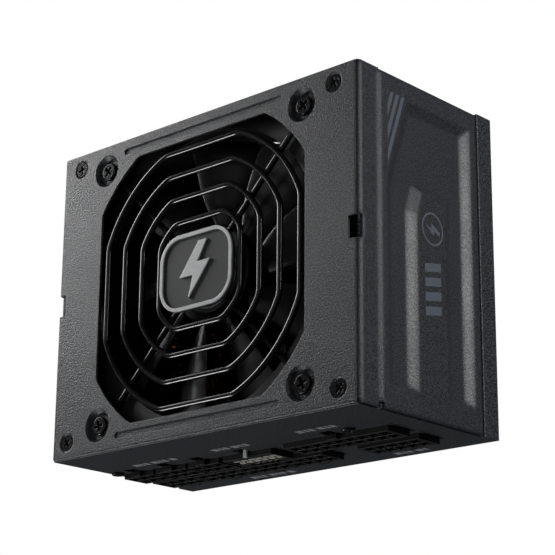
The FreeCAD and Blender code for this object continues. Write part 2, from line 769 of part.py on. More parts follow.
def screws(label, shape, places, way=UP):
    """Copies of one screw, pointing against a direction, each turned differently, kept in one node."""
    copies = []
    for index, spot in enumerate(places):
        copy = shape.copy()
        turned = FreeCAD.Rotation(UP, SCREW_TURN * (index + 1))
        copy.Placement = FreeCAD.Placement(V(*spot), FreeCAD.Rotation(UP, way).multiply(turned))
        copies.append(copy)
    node(label, made(label, Part.makeCompound(copies)))


def make_case_screws():
    """Cover screws, fan screws and the mains inlet's screws."""
    lid_z = size("case_height") - 0.25
    screws("cover_screws", screw_shape(2.45, 0.6, 1.4, 3.2, True),
           [(x, y, lid_z) for x, y in lid_screw_places()])
    fan_head = 0.95
    fan_z = size("case_height") - size("dimple_depth") + fan_head
    screws("fan_screws", screw_shape(2.85, fan_head, 1.75, 8, False),
           [(x, y, fan_z) for x, y in corner_places(size("fan_pitch"))])


# ---------------------------------------------------------------- fan and grille

def fan_top():
    """Height of the fan frame's upper face."""
    dimple_under = size("case_height") - size("dimple_depth") - size("sheet_thick")
    return dimple_under - 2 * size("wire_radius")


def make_fan_frame():
    """Square frame, duct, struts and the motor base with its post."""
    frame = body("fan_frame")
    low = fan_top() - size("fan_thick")
    square = sketch(frame, "frame_square", low)
    rectangle(square, "frame", "dim.fan_size", "dim.fan_size")
    pad(frame, square, "frame_block", "dim.fan_thick")
    doc.recompute()
    corners = sketch(frame, "frame_duct", low + size("fan_thick") + 1)
    circle(corners, "duct", (0, 0), "dim.fan_bore")
    pocket(frame, corners, "duct_cut", "dim.fan_thick + 2")
    holes = sketch(frame, "frame_holes", low + size("fan_thick") + 1)
    for index, place_at in enumerate(corner_places(size("fan_pitch"))):
        circle(holes, "hole%d" % index, place_at, 1.9)
    pocket(frame, holes, "frame_hole_cut", "dim.fan_thick + 2")
    base = sketch(frame, "motor_base", low)
    circle(base, "base", (0, 0), "dim.base_radius")
    pad(frame, base, "motor_base_plate", 2)
    spokes = sketch(frame, "struts", low)
    for turn in range(4):
        spin = FreeCAD.Rotation(UP, 90 * turn + 20)
        bar = [spin.multVec(V(x, y, 0)) for x, y in ((10, -1.6), (45.2, -1.6), (45.2, 1.6), (10, 1.6))]
        outline(spokes, [(spot.x, spot.y) for spot in bar])
    pad(frame, spokes, "strut_bars", 2)
    post = sketch(frame, "bearing_post", low)
    circle(post, "post", (0, 0), "dim.post_radius")
    pad(frame, post, "post_tube", 10)
    bore = sketch(frame, "post_bore", low + 11)
    circle(bore, "bore", (0, 0), "dim.post_bore")
    pocket(frame, bore, "post_bore_cut", 10.2)
    node("fan_frame", frame)


def blade_section(reach, spread, bottom, top, shift, thick):
    """A blade's cross-section on a plane square to its radius: a cambered closed curve."""
    spots = []
    for step in (0, 0.25, 0.5, 0.75, 1):
        camber = 1.6 * math.sin(math.pi * step)
        spots.append((shift - spread / 2 + spread * step, bottom + (top - bottom) * step + camber))
    upper = [V(reach, s, z + thick / 2) for s, z in spots[1:-1]]
    lower = [V(reach, s, z - thick / 2) for s, z in reversed(spots[1:-1])]
    first = V(reach, *spots[0])
    last = V(reach, *spots[-1])
    curve = Part.BSplineCurve()
    curve.interpolate([first] + upper + [last] + lower, True)
    return Part.Wire(curve.toShape())


def make_rotor():
    """Hub with its skirt and the swept blades, as one moulding."""
    top = size("case_height") - size("hub_drop")
    low = top - size("hub_height")
    hub = Part.makeCylinder(size("hub_radius"), size("hub_height"), V(0, 0, low), UP)
    rim = [edge for edge in hub.Edges if edge.BoundBox.ZLength < 0.01 and edge.BoundBox.ZMin > top - 0.01]
    hub = hub.makeFillet(1.2, rim)
    cavity = Part.makeCylinder(size("hub_radius") - 1.3, size("hub_height") - 1.5, V(0, 0, low), UP)
    z_low = low + 0.8
    z_high = top - 0.2
    sections = [blade_section(12.6, 8.4, z_low + 0.6, z_high - 2.2, 0.0, 1.3),
                blade_section(22, 13.5, z_low + 0.4, z_high - 2.2, 2.2, 1.2),
                blade_section(33, 19, z_low + 0.2, z_high - 2.2, 5.6, 1.1),
                blade_section(45, 23.5, z_low, z_high - 2.2, 10.4, 1.0)]
    blade = Part.makeLoft(sections, True, False)
    trim = Part.makeCylinder(size("blade_tip"), 40, V(0, 0, low - 10), UP)
    blade = blade.common(trim)
    rotor = hub
    count = int(size("blade_count"))
    for index in range(count):
        copy = blade.copy()
        copy.rotate(V(0, 0, 0), UP, 360.0 * index / count)
        rotor = rotor.fuse(copy)
    rotor = rotor.cut(cavity)
    node("fan_rotor", made("fan_rotor", rotor))
    return low, top


def ring_shape(outer, inner, high, low_z, centre=(0, 0)):
    """A tube standing on a height."""
    at = V(centre[0], centre[1], low_z)
    return Part.makeCylinder(outer, high, at, UP).cut(Part.makeCylinder(inner, high, at, UP))


def make_motor(low, top):
    """Yoke, magnet, shaft, bearing, stator and its board."""
    under = top - 1.5
    frame_low = fan_top() - size("fan_thick")
    wall = size("hub_radius") - 1.3
    yoke = ring_shape(wall, wall - 0.8, under - low, low)
    lid = Part.makeCylinder(wall, 0.8, V(0, 0, under - 0.8), UP)
    hole = Part.makeCylinder(3, 2, V(0, 0, under - 1.5), UP)
    node("fan_yoke", made("fan_yoke", yoke.fuse(lid).cut(hole).removeSplitter()))
    node("fan_magnet", made("fan_magnet", ring_shape(wall - 0.8, wall - 2.6, 6, low + 0.4)))
    shaft = Part.makeCylinder(size("shaft_radius"), under - frame_low - 1.4, V(0, 0, frame_low + 1.4), UP)
    boss = Part.makeCylinder(2.6, 0.8, V(0, 0, under - 0.8), UP)
    node("fan_shaft", made("fan_shaft", shaft.fuse(boss).removeSplitter()))
    bore = size("shaft_radius") + size("bearing_gap")
    node("fan_bearing", made("fan_bearing", ring_shape(size("post_bore"), bore, 8, frame_low + 1.9)))
    core = ring_shape(7, size("post_radius") + 0.05, 4.4, frame_low + 3.8)
    for turn in range(4):
        arm = Part.makeBox(5, 3.4, 4.4, V(5.5, -1.7, frame_low + 3.8))
        shoe = ring_shape(11, 9.6, 4.4, frame_low + 3.8).common(
            Part.makeBox(6, 9, 4.4, V(7, -4.5, frame_low + 3.8)))
        piece = arm.common(Part.makeCylinder(10.8, 6, V(0, 0, frame_low + 3), UP)).fuse(shoe)
        piece.rotate(V(0, 0, 0), UP, 90 * turn)
        core = core.fuse(piece)
    node("fan_stator", made("fan_stator", core.removeSplitter()))
    disc = ring_shape(12, size("post_radius"), 1, frame_low + 2.2)
    node("fan_motor_board", made("fan_motor_board", disc))


def make_grille():
    """Four wire rings on four crossed spokes with screw eyes, and the centre badge."""
    radius = size("wire_radius")
    ring_z = size("case_height") - size("ring_drop") - radius + 0.3
    rings = []
    for index in range(int(size("ring_count"))):
        half = size("ring_half") - index * size("ring_pitch")
        reach = size("ring_radius") - index * size("ring_pitch")
        path = clipped_square(half, reach, min(6, reach * 0.3), ring_z)
        first = path.OrderedEdges[0]
        start = first.valueAt(first.FirstParameter)
        profile = Part.Wire(Part.makeCircle(radius, start, first.tangentAt(first.FirstParameter)))
        rings.append(path.makePipeShell([profile], True, False))
    node("grille_rings", made("grille_rings", Part.makeCompound(rings)))
    spoke_z = ring_z - 2 * radius + 0.05
    eye_z = fan_top() + radius
    screw_at = size("fan_pitch") / 2 * math.sqrt(2)
    spokes = []
    for turn in range(4):
        route = [(5.5, 0, spoke_z), (48, 0, spoke_z), (51, 0, eye_z), (screw_at - 3.1, 0, eye_z)]
        spoke = tube(route, 2.5, radius)
        eye = Part.makeTorus(3.1, radius, V(screw_at, 0, eye_z), UP)
        spoke = spoke.fuse(eye)
        spoke.rotate(V(0, 0, 0), UP, 45 + 90 * turn)
        spokes.append(spoke)
    node("grille_spokes", made("grille_spokes", Part.makeCompound(spokes)))
    badge_top = size("case_height") + size("badge_rise")
    badge_low = badge_top - size("badge_thick")
    plate = body("grille_badge")
    face = sketch(plate, "badge_outline", badge_low)
    rounded_rectangle(face, size("badge_width"), size("badge_height"), size("badge_corner"))
    pad(plate, face, "badge_slab", "dim.badge_thick")
    doc.recompute()
    dish = sketch(plate, "badge_field", badge_top)
    rim = size("badge_rim")
    rounded_rectangle(dish, size("badge_width") - 2 * rim, size("badge_height") - 2 * rim,
                      size("badge_corner") - rim)
    pocket(plate, dish, "badge_field_cut", "dim.badge_relief")
    node("grille_badge", plate)
    bolt = [(1.2, 8.6), (-6.4, -1.6), (-0.9, -1.6), (-2.6, -8.6), (6.0, 2.2), (0.8, 2.2), (4.6, 8.6)]
    ring = [V(x, y, badge_top - size("badge_relief")) for x, y in bolt]
    mark = Part.Face(Part.makePolygon(ring + ring[:1])).extrude(V(0, 0, size("badge_relief")))
    node("badge_emblem", made("badge_emblem", mark))
    mount_low = spoke_z + radius
    stud = Part.makeCylinder(7.5, badge_low - mount_low, V(0, 0, mount_low), UP)
    node("badge_mount", made("badge_mount", stud))


FAN_PLUG = (-50.5, -27)


def make_fan_lead():
    """Two-wire lead from the fan frame to its plug on the main board."""
    low = fan_top() - size("fan_thick")
    top = size("board_z") + size("board_thick")
    plug_high = 6.2
    x, y = FAN_PLUG
    route = [(x + 6, y, low - 1.2), (x - 1.8, y, low - 1.2), (x - 3, y, low - 16),
             (x, y, top + plug_high + 7), (x, y, top + plug_high)]
    lead = tube(route, 2.6, 1.1)
    node("fan_lead", made("fan_lead", lead))
    plug = centred(6, 5, plug_high, FAN_PLUG, top)
    node("fan_plug", made("fan_plug", plug))


# ---------------------------------------------------------------- boards and components

BOARD_FIXINGS = [(-53, -34), (53, -34), (53, 39), (-53, 39)]


def make_boards():
    """Main board, its posts and screws, insulating sheet and the modular board."""
    main = body("main_board")
    flat = sketch(main, "main_board_outline", "dim.board_z")
    rectangle(flat, "board", "dim.board_width", "dim.board_depth")
    flat_y = size("board_y")
    bind(flat, "AttachmentOffset.Base.y", "dim.board_y")
    pad(main, flat, "main_board_slab", "dim.board_thick")
    holes = sketch(main, "main_board_holes", "dim.board_z + dim.board_thick + 1")
    for index, spot in enumerate(BOARD_FIXINGS):
        circle(holes, "hole%d" % index, spot, 1.7)
    pocket(main, holes, "main_board_hole_cut", 6)
    node("main_board", main)
    posts = []
    for index, (x, y) in enumerate(BOARD_FIXINGS):
        posts.append(add("Cylinder", "post%d" % index, (x, y, "dim.sheet_thick"), Radius=3,
                         Height="dim.board_z - dim.sheet_thick"))
    top = size("board_z") + size("board_thick")
    screws("board_screws", screw_shape(2.8, 1.8, 1.45, 1.55, False),
           [(x, y, top + 1.8) for x, y in BOARD_FIXINGS])
    film = block("insulating_film", ("dim.board_width - 18", "dim.board_depth - 8", 0.3),
                 (0, flat_y), "dim.sheet_thick")
    node("insulating_sheet", film)
    back = -size("modular_y")
    card = centred(116, size("board_thick"), size("modular_high") - size("modular_low"),
                   (0, back + size("board_thick") / 2), size("modular_low"))
    for x, z in MODULAR_SCREWS:
        card = card.cut(Part.makeCylinder(1.7, 6, V(x, back - 2, z), ALONG_Y))
    node("modular_board", made("modular_board", card))
    for x, z in MODULAR_SCREWS:
        length = size("case_depth") / 2 - size("sheet_thick") - size("modular_y")
        tube_y = -size("case_depth") / 2 + size("sheet_thick")
        ring = Part.makeCylinder(2.3, length, V(x, tube_y, z), ALONG_Y)
        ring = ring.cut(Part.makeCylinder(1.5, length, V(x, tube_y, z), ALONG_Y))
        posts.append(made("spacer%d" % len(posts), ring))
    node("board_posts", group("board_posts", posts))
    modular_head = 0.8
    screws("modular_screws", screw_shape(1.95, modular_head, 1.4, 8, False),
           [(x, -size("case_depth") / 2 - modular_head, z) for x, z in MODULAR_SCREWS], V(0, -1, 0))


def make_components():
    """The larger parts on the main board."""
    top = size("board_z") + size("board_thick")
    for label in ("film_capacitor", "resonant_choke", "standby_transformer", "bridge_rectifier",
                  "control_board"):
        node(label, standing(label))
    node("bulk_capacitor", add("Cylinder", "bulk_capacitor",
                               ("dim.bulk_capacitor_x", "dim.bulk_capacitor_y", BOARD_TOP),
                               Radius="dim.bulk_capacitor_wide / 2", Height="dim.bulk_capacitor_tall"))
    make_transformer(top)
    for label in ("primary_heatsink", "secondary_heatsink"):
        make_heatsink(label)
    ring = standing_ring(13, 7.5, 10, V(-42, -10.3, top + 15))
    coil = standing_ring(14.8, 5.2, 14, V(-42, -10.3, top + 15)).cut(ring)
    node("pfc_choke_core", made("pfc_choke_core", ring))
    node("pfc_choke_winding", made("pfc_choke_winding", coil))
    filters = []
    for x, y in ((-50, 14), (-34, 11)):
        filters.append(ring_shape(7.5, 3.2, 9, top, (x, y)))
    node("line_chokes", made("line_chokes", Part.makeCompound(filters)))
    cans = []
    for index in range(6):
        cans.append(add("Cylinder", "output_can%d" % index, ("-24 + 9.5 * %d" % index, -30, BOARD_TOP),
                        Radius=4, Height=20))
    node("output_capacitors", group("output_capacitors", cans))
    small_cans = []
    for index, (x, y) in enumerate(((-28, -17), (-20, -16), (31, -15), (31, -8))):
        small_cans.append(add("Cylinder", "small_can%d" % index, (x, y, BOARD_TOP), Radius=3.15, Height=9))
    node("polymer_capacitors", group("polymer_capacitors", small_cans))
    transistors = [centred(5, 3.2, 15, (x, -18.4), top + 4) for x in (-12, -4, 14, 22)]
    transistors.append(centred(14, 4.6, 18, (26, 35.2), top + 5))
    node("power_transistors", made("power_transistors", Part.makeCompound(transistors)))
    bars = []
    inner = -size("modular_y") + size("board_thick")
    for x in (-40, 0, 26):
        foot = centred(10, 3.2, 12, (x, inner + 1.6), top)
        bars.append(foot.cut(centred(10, 2.2, 10.8, (x, inner + 2.3), top + 1.2)))
    node("bus_bars", made("bus_bars", Part.makeCompound(bars)))


def standing_ring(outer, inner, thick, centre):
    """A ring on edge with its axis along X."""
    start = centre - V(thick / 2, 0, 0)
    ring = Part.makeCylinder(outer, thick, start, ALONG_X)
    return ring.cut(Part.makeCylinder(inner, thick, start, ALONG_X))


def make_transformer(top):
    """The main transformer: a core of two E halves round its winding."""
    x, y, wide, deep, tall = [size("main_transformer_" + end) for end in ("x", "y", "wide", "deep", "tall")]
    yoke = 6
    leg = 5
    coil_high = tall - 2 * yoke
    window_wide = wide - 2 * leg
    core = centred(wide, deep - 2 * yoke, tall, (x, y), top)
    core = core.cut(centred(window_wide, deep, coil_high, (x, y), top + yoke))
    limb = Part.makeCylinder(leg, coil_high, V(x, y, top + yoke), UP)
    core = core.fuse(limb)
    node("transformer_core", made("transformer_core", core.removeSplitter()))
    coil = Part.makeCylinder(deep / 2 - 3, coil_high, V(x, y, top + yoke), UP)
    coil = coil.common(centred(window_wide, deep, coil_high, (x, y), top + yoke)).cut(limb)
    node("transformer_winding", made("transformer_winding", coil))


def make_heatsink(label):
    """An aluminium plate whose upper edge is cut into fins."""
    x, y, wide, deep, tall = [size(label + "_" + end) for end in ("x", "y", "wide", "deep", "tall")]
    plate = standing(label, "_plate")
    slots = []
    pitch = 5.0
    slot_wide = 1.5
    slot_deep = 7
    slot_low = "%s + dim.%s_tall - %d" % (BOARD_TOP, label, slot_deep)
    for index in range(int(wide / pitch) - 1):
        slot_x = x - wide / 2 + pitch * (index + 1) - slot_wide / 2
        slots.append(add("Box", "%s_slot%d" % (label, index), (slot_x, y - deep / 2 - 1, slot_low),
                         Length=slot_wide, Width=deep + 2, Height=slot_deep + 1))
    node(label, cut(label, plate, slots))


# ---------------------------------------------------------------- sockets

def ledge(x, face_y, z, latch):
    """The latch ledge above or below a socket, from its front to the wall."""
    ledge_wide = 3.7
    ledge_high = 1.4
    low_z = z + SOCKET_HIGH / 2 if latch > 0 else z - SOCKET_HIGH / 2 - ledge_high
    proud = size("socket_proud")
    return centred(ledge_wide, proud, ledge_high, (x, face_y + proud / 2), low_z)


def make_sockets():
    """The output sockets, their contacts and the fine-pitch socket."""
    face_y = -size("case_depth") / 2 - size("socket_proud")
    pitch = size("socket_pitch")
    depth = -size("modular_y") - face_y
    hole = pitch - 0.75
    hole_deep = 8
    pin_back = 2
    side = size("pin_side")
    pins = []
    for label, contacts, places, z, latch, narrower in SOCKETS:
        solids = []
        for x in places:
            width = socket_width(contacts, narrower)
            shell = centred(width, depth, SOCKET_HIGH, (x, face_y + depth / 2), z - SOCKET_HIGH / 2)
            for column in range(contacts):
                for line in (-0.5, 0.5):
                    pin_x = x + (column - (contacts - 1) / 2) * pitch
                    pin_z = z + line * pitch
                    shell = shell.cut(centred(hole, hole_deep, hole, (pin_x, face_y + hole_deep / 2 - 0.1),
                                              pin_z - hole / 2))
                    pin = centred(side, depth - pin_back, side,
                                  (pin_x, face_y + pin_back + (depth - pin_back) / 2), pin_z - side / 2)
                    shell = shell.cut(pin)
                    pins.append(pin)
            shell = shell.fuse(ledge(x, face_y, z, latch)).removeSplitter()
            solids.append(shell)
        node(label, made(label, Part.makeCompound(solids)))
    make_fine_socket(face_y, depth)
    node("socket_contacts", made("socket_contacts", Part.makeCompound(pins)))


def make_fine_socket(face_y, depth):
    """The fine-pitch socket: twelve power contacts over four small ones, and its latch bar."""
    x, z = FINE_SOCKET
    shell = centred(20, depth, SOCKET_HIGH, (x, face_y + depth / 2), z - SOCKET_HIGH / 2)
    shell = shell.cut(centred(18.6, 7, 5.6, (x, face_y + 3.4), z - 2.8))
    shell = shell.cut(centred(12, 7, 2, (x, face_y + 3.4), z - SOCKET_HIGH / 2 - 0.2))
    contacts = []
    recess = 0.25
    middle_y = face_y + recess + (depth - recess) / 2
    column_pitch = 3
    row_pitch = 2.8
    for column in range(6):
        for line in (0, 1):
            spot = (x + (column - 2.5) * column_pitch, middle_y)
            contacts.append(centred(2.3, depth - recess, 1.1, spot, z - 2.45 + row_pitch * line))
    for column in range(4):
        spot = (x + (column - 1.5) * 2.5, middle_y)
        contacts.append(centred(1.3, depth - recess, 0.6, spot, z - 4.4))
    for contact in contacts:
        shell = shell.cut(contact)
    node("fine_socket", made("fine_socket", shell))
    bar_long = size("socket_proud") + 3
    bar = centred(1.3, bar_long, 0.8, (x, face_y + bar_long / 2), z + SOCKET_HIGH / 2)
    node("fine_socket_latch_bar", made("fine_socket_latch_bar", bar))
    node("fine_socket_contacts", made("fine_socket_contacts", Part.makeCompound(contacts)))


# ---------------------------------------------------------------- mains inlet and switch

INLET_BLADES = ((-7, -1.5), (0, 2.5), (7, -1.5))


def make_inlet():
    """Appliance inlet with its blades, screws and wires."""
    x, z = size("inlet_x"), size("inlet_z")
    wall_y = size("case_depth") / 2
    lip = size("inlet_lip")
    flange = Part.makeBox(size("inlet_flange"), lip, size("inlet_rim"),
                          V(x - size("inlet_flange") / 2, wall_y, z - size("inlet_rim") / 2))
    ends = [edge for edge in flange.Edges if edge.BoundBox.YLength > lip - 0.1]
    flange = flange.makeFillet(4, ends)
    deep = size("inlet_deep") - lip
    barrel = Part.makeBox(size("inlet_long"), deep, size("inlet_high"),
                          V(x - size("inlet_long") / 2, wall_y - deep, z - size("inlet_high") / 2))
    housing = flange.fuse(barrel)
    cavity_wide, cavity_high, bevel, cavity_deep = 24.2, 16.4, 4.5, 17
    mouth = [(-cavity_wide / 2, -cavity_high / 2), (cavity_wide / 2, -cavity_high / 2),
             (cavity_wide / 2, cavity_high / 2 - bevel), (cavity_wide / 2 - bevel, cavity_high / 2),
             (-cavity_wide / 2 + bevel, cavity_high / 2), (-cavity_wide / 2, cavity_high / 2 - bevel)]
    ring = [V(x + across, wall_y + lip, z + up) for across, up in mouth]
    cavity = Part.Face(Part.makePolygon(ring + ring[:1])).extrude(V(0, -cavity_deep, 0))
    housing = housing.cut(cavity)
    blades = []
    for across, up in INLET_BLADES:
        length = cavity_deep - 1 + 9
        blade = Part.makeBox(2, length, 4, V(x + across - 1, wall_y + lip - 1 - length, z + up - 2))
        housing = housing.cut(blade)
        blades.append(blade)
    screw_spots = [(x + side * size("inlet_pitch") / 2, wall_y + lip, z) for side in (-1, 1)]
    for spot in screw_spots:
        housing = housing.cut(Part.makeCylinder(1.6, 6, V(spot[0], wall_y - 1, spot[2]), ALONG_Y))
        seat = V(spot[0], wall_y + lip - 1.75, spot[2])
        housing = housing.cut(Part.makeCone(1.5, 3.1, 1.2, seat, ALONG_Y))
        housing = housing.cut(Part.makeCylinder(3.1, 1, V(spot[0], wall_y + lip - 0.55, spot[2]), ALONG_Y))
    node("inlet_body", made("inlet_body", housing.removeSplitter()))
    node("inlet_blades", made("inlet_blades", Part.makeCompound(blades)))
    screws("inlet_screws", screw_shape(3.0, 1.6, 1.5, 5, True),
           [(sx, sy - 0.05, sz) for sx, sy, sz in screw_spots], ALONG_Y)


def make_switch():
    """Rocker switch: bezel with its box, rocker on pins and terminals."""
    x, z = size("switch_x"), size("switch_z")
    wall_y = size("case_depth") / 2
    long_side, wide = size("switch_long") + 1.6, size("switch_wide")
    bezel = Part.makeBox(long_side, 1.6, wide, V(x - long_side / 2, wall_y, z - wide / 2))
    bezel = bezel.makeFillet(1.2, [edge for edge in bezel.Edges if edge.BoundBox.YLength > 1.5])
    box_wide = size("switch_long") - 2.2
    box_high = wide - 1.8
    shell = Part.makeBox(box_wide, 14, box_high, V(x - box_wide / 2, wall_y - 14, z - box_high / 2))
    well_corner = V(x - box_wide / 2 + 1, wall_y - 10, z - box_high / 2 + 1)
    well = Part.makeBox(box_wide - 2, 12, box_high - 2, well_corner)
    housing = bezel.fuse(shell).cut(well)
    pivot = V(x, wall_y - 2.2, z)
    pin_hole = Part.makeCylinder(1.05, box_high + 4, pivot - V(0, 0, box_high / 2 + 2), UP)
    pin_reach = box_high - 0.6
    pin_hole = pin_hole.common(Part.makeBox(4, 6, pin_reach, V(x - 2, wall_y - 5, z - pin_reach / 2)))
    tabs = [centred(0.8, 9, 4.8, (x + across, wall_y - 16.5), z - 2.4) for across in (-5, 5)]
    housing = housing.cut(pin_hole).removeSplitter().cut(Part.makeCompound(tabs))
    node("switch_housing", made("switch_housing", housing))
    node("switch_terminals", made("switch_terminals", Part.makeCompound(tabs)))
    half = (box_wide - 2) / 2 - 0.75
    tilt = 9
    high = box_high - 2 - 0.5
    back = -2.6
    front = 4.4 - math.tan(math.radians(tilt)) * half
    dip = 0.9
    taper = 0.9
    left_back, right_back = V(-half + taper, back, 0), V(half - taper, back, 0)
    left_front, right_front = V(-half, front, 0), V(half, front, 0)
    edges = [Part.LineSegment(left_back, right_back).toShape(),
             Part.LineSegment(right_back, right_front).toShape(),
             Part.Arc(right_front, V(0, front - dip, 0), left_front).toShape(),
             Part.LineSegment(left_front, left_back).toShape()]
    rocker = Part.Face(Part.Wire(edges)).extrude(V(0, 0, high))
    rocker.translate(V(0, 0, -high / 2))
    pin = Part.makeCylinder(1, box_high - 0.9, V(0, 0, -(box_high - 0.9) / 2), UP)
    rocker = rocker.fuse(pin)
    rocker.rotate(V(0, 0, 0), UP, -tilt)
    rocker.translate(pivot)
    node("switch_rocker", made("switch_rocker", rocker))


def make_wires():
    """Internal mains wires from the inlet and the switch down to the main board."""
    top = size("board_z") + size("board_thick")
    x, z = size("inlet_x"), size("inlet_z")
    start_y = size("case_depth") / 2 + size("inlet_lip") - 26 - 0.4
    wires = []
    for across, up in INLET_BLADES:
        wires.append(tube([(x + across, start_y + 0.4, z + up), (x + across, start_y - 5.6, z + up),
                           (x + across, start_y - 5.6, top)], 3, 1.2))
    node("mains_wires", made("mains_wires", Part.makeCompound(wires)))


def make_label():
    """Blank rating label let into the label face."""
    node("rating_label", block("rating_label", ("dim.label_width - 0.2", "dim.label_depth - 0.2",
                                                "dim.label_thick"), (0, 0), 0))


# ---------------------------------------------------------------- build and export

def build():
    """Make every sub-part."""
    make_base_shell()
    make_side_panel("side_panel_right", 1)
    make_side_panel("side_panel_left", -1)
    make_fan_panel()
    make_case_screws()
    make_label()
    make_fan_frame()
    low, top = make_rotor()
    make_motor(low, top)
    make_grille()
    make_fan_lead()
    make_boards()
    make_components()
    make_sockets()
    make_inlet()
    make_switch()
    make_wires()
    doc.recompute()


def export():
    """Check every object and write one STEP file for each sub-part."""
    faults = [item.Label for item in doc.Objects if "Invalid" in item.State or "Error" in item.State]
    for item in NODES:
        shape = item.Shape
        if shape.isNull() or not shape.isValid() or not shape.Solids:
            faults.append(item.Label + " shape")
    if faults:
        raise RuntimeError("failed objects: " + ", ".join(faults))
    os.makedirs("parts", exist_ok=True)
    for item in NODES:
        item.Shape.exportStep("parts/%s.step" % item.Label)
        print(item.Label, len(item.Shape.Solids), round(item.Shape.Volume, 1))
    print(len(NODES), "nodes")


build()
export()
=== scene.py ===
"""Looks of a small-form-factor computer power supply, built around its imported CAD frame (metres)."""
import json
import math
import random
import bpy
import bmesh
from mathutils import Matrix, Vector


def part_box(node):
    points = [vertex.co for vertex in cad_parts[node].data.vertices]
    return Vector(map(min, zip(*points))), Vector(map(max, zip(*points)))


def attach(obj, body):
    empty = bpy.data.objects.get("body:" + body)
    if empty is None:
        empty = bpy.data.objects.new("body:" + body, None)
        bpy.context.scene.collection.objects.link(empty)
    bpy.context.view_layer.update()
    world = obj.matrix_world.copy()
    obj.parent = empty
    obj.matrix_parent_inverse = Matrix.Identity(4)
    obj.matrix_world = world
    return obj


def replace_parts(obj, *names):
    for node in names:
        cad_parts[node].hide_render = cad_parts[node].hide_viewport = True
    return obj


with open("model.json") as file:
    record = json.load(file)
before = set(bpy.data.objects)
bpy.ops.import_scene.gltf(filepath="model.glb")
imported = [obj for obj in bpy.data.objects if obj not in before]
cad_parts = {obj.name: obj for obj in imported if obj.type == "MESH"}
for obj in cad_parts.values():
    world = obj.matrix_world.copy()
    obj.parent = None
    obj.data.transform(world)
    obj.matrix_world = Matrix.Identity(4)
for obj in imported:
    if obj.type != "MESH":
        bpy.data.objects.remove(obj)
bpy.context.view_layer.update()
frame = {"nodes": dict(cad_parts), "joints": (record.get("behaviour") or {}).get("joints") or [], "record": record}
nodes = frame["nodes"]
scene = bpy.context.scene
MM = 0.001
INK = 0.03                  # thickness of a printed mark, mm
FULL_TURN = 2 * math.pi


def box_mm(name):
    """A CAD node's box in millimetres."""
    return [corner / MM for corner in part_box(name)]


shell_box = box_mm("base_shell")
panel_top = box_mm("fan_panel")[1].z


# ---------------------------------------------------------------- camera and studio

# the camera in metres: where it stands, which way it looks and which way is up
CAMERA_AT = (0.3585, -0.1602, 0.4201)
CAMERA_FORWARD = (-0.644, 0.2983, -0.7044)
CAMERA_UP = (0.1947, 0.9544, 0.2262)
SENSOR = 36                 # mm across
LENS = 116.2                # mm


def aim(obj, position, forward, up):
    """Stand a camera or light at a position, pointing along forward."""
    back = -Vector(forward).normalized()
    right = Vector(up).cross(back).normalized()
    over = back.cross(right)
    turn = Matrix((right, over, back)).transposed()
    obj.matrix_world = Matrix.Translation(Vector(position)) @ turn.to_4x4()


def make_camera():
    """Camera above the corner between the sockets and the right side, a little rolled."""
    data = bpy.data.cameras.new("camera")
    data.sensor_width = SENSOR
    data.lens = LENS
    data.clip_start = 0.01
    data.clip_end = 10
    camera = bpy.data.objects.new("camera", data)
    scene.collection.objects.link(camera)
    aim(camera, CAMERA_AT, CAMERA_FORWARD, CAMERA_UP)
    scene.camera = camera


# name, direction from the object, distance, width, height, watts
LIGHTS = [
    ("low_left", (-0.91, 0.46, 0.20), 0.6, 0.26, 0.36, 3.0),
    ("strip_right", (0.95, 0.30, -0.04), 0.8, 0.13, 0.34, 3.0),
    ("overhead", (0.05, 0.10, 1.00), 0.9, 0.60, 0.60, 0.5),
    ("front_left", (-0.65, -0.70, 0.34), 1.0, 0.24, 0.24, 4.2),
]
LIGHTS_AIM = (0, 0, 0.03)   # the point they face, m
SKY = 0.045                 # strength of the even light from all round
FLOOR_HALF = 3.0            # m
FLOOR_DROP = 0.0004         # gap below the object, m


def soft_light(name, direction, distance, width, height, watts):
    """A rectangular studio light aimed at the middle of the object."""
    data = bpy.data.lights.new(name, "AREA")
    data.shape = "RECTANGLE"
    data.size = width
    data.size_y = height
    data.energy = watts
    light = bpy.data.objects.new(name, data)
    scene.collection.objects.link(light)
    way = Vector(direction).normalized()
    steep = 0.95
    up = (0, 1, 0) if abs(way.z) > steep else (0, 0, 1)
    aim(light, Vector(LIGHTS_AIM) + way * distance, -way, up)


def make_floor():
    """A plain white floor that shines by itself, takes no shadow and is clear from below."""
    mesh = bpy.data.meshes.new("floor")
    half = FLOOR_HALF
    corners = [(-half, -half, 0), (half, -half, 0), (half, half, 0), (-half, half, 0)]
    mesh.from_pydata(corners, [], [(0, 1, 2, 3)])
    floor = bpy.data.objects.new("floor", mesh)
    scene.collection.objects.link(floor)
    floor.location.z = -FLOOR_DROP
    paint = bpy.data.materials.new("floor_paint")
    paint.use_nodes = True
    tree = paint.node_tree
    tree.nodes.clear()
    glow = tree.nodes.new("ShaderNodeEmission")
    clear = tree.nodes.new("ShaderNodeBsdfTransparent")
    side = tree.nodes.new("ShaderNodeNewGeometry")
    mix = tree.nodes.new("ShaderNodeMixShader")
    out = tree.nodes.new("ShaderNodeOutputMaterial")
    tree.links.new(side.outputs["Backfacing"], mix.inputs[0])
    tree.links.new(glow.outputs[0], mix.inputs[1])
    tree.links.new(clear.outputs[0], mix.inputs[2])
    tree.links.new(mix.outputs[0], out.inputs[0])
    mesh.materials.append(paint)
    floor.visible_diffuse = False
    floor.visible_glossy = False
    floor.visible_transmission = False
    floor.visible_shadow = False


def make_studio():
    """Floor, soft lights and an even sky."""
    make_floor()
    world = bpy.data.worlds.new("studio")
    world.use_nodes = True
    sky = world.node_tree.nodes["Background"]
    sky.inputs["Color"].default_value = (0.92, 0.96, 1.0, 1)
    sky.inputs["Strength"].default_value = SKY
    scene.world = world
    for row in LIGHTS:
        soft_light(*row)
    scene.view_settings.view_transform = "Standard"


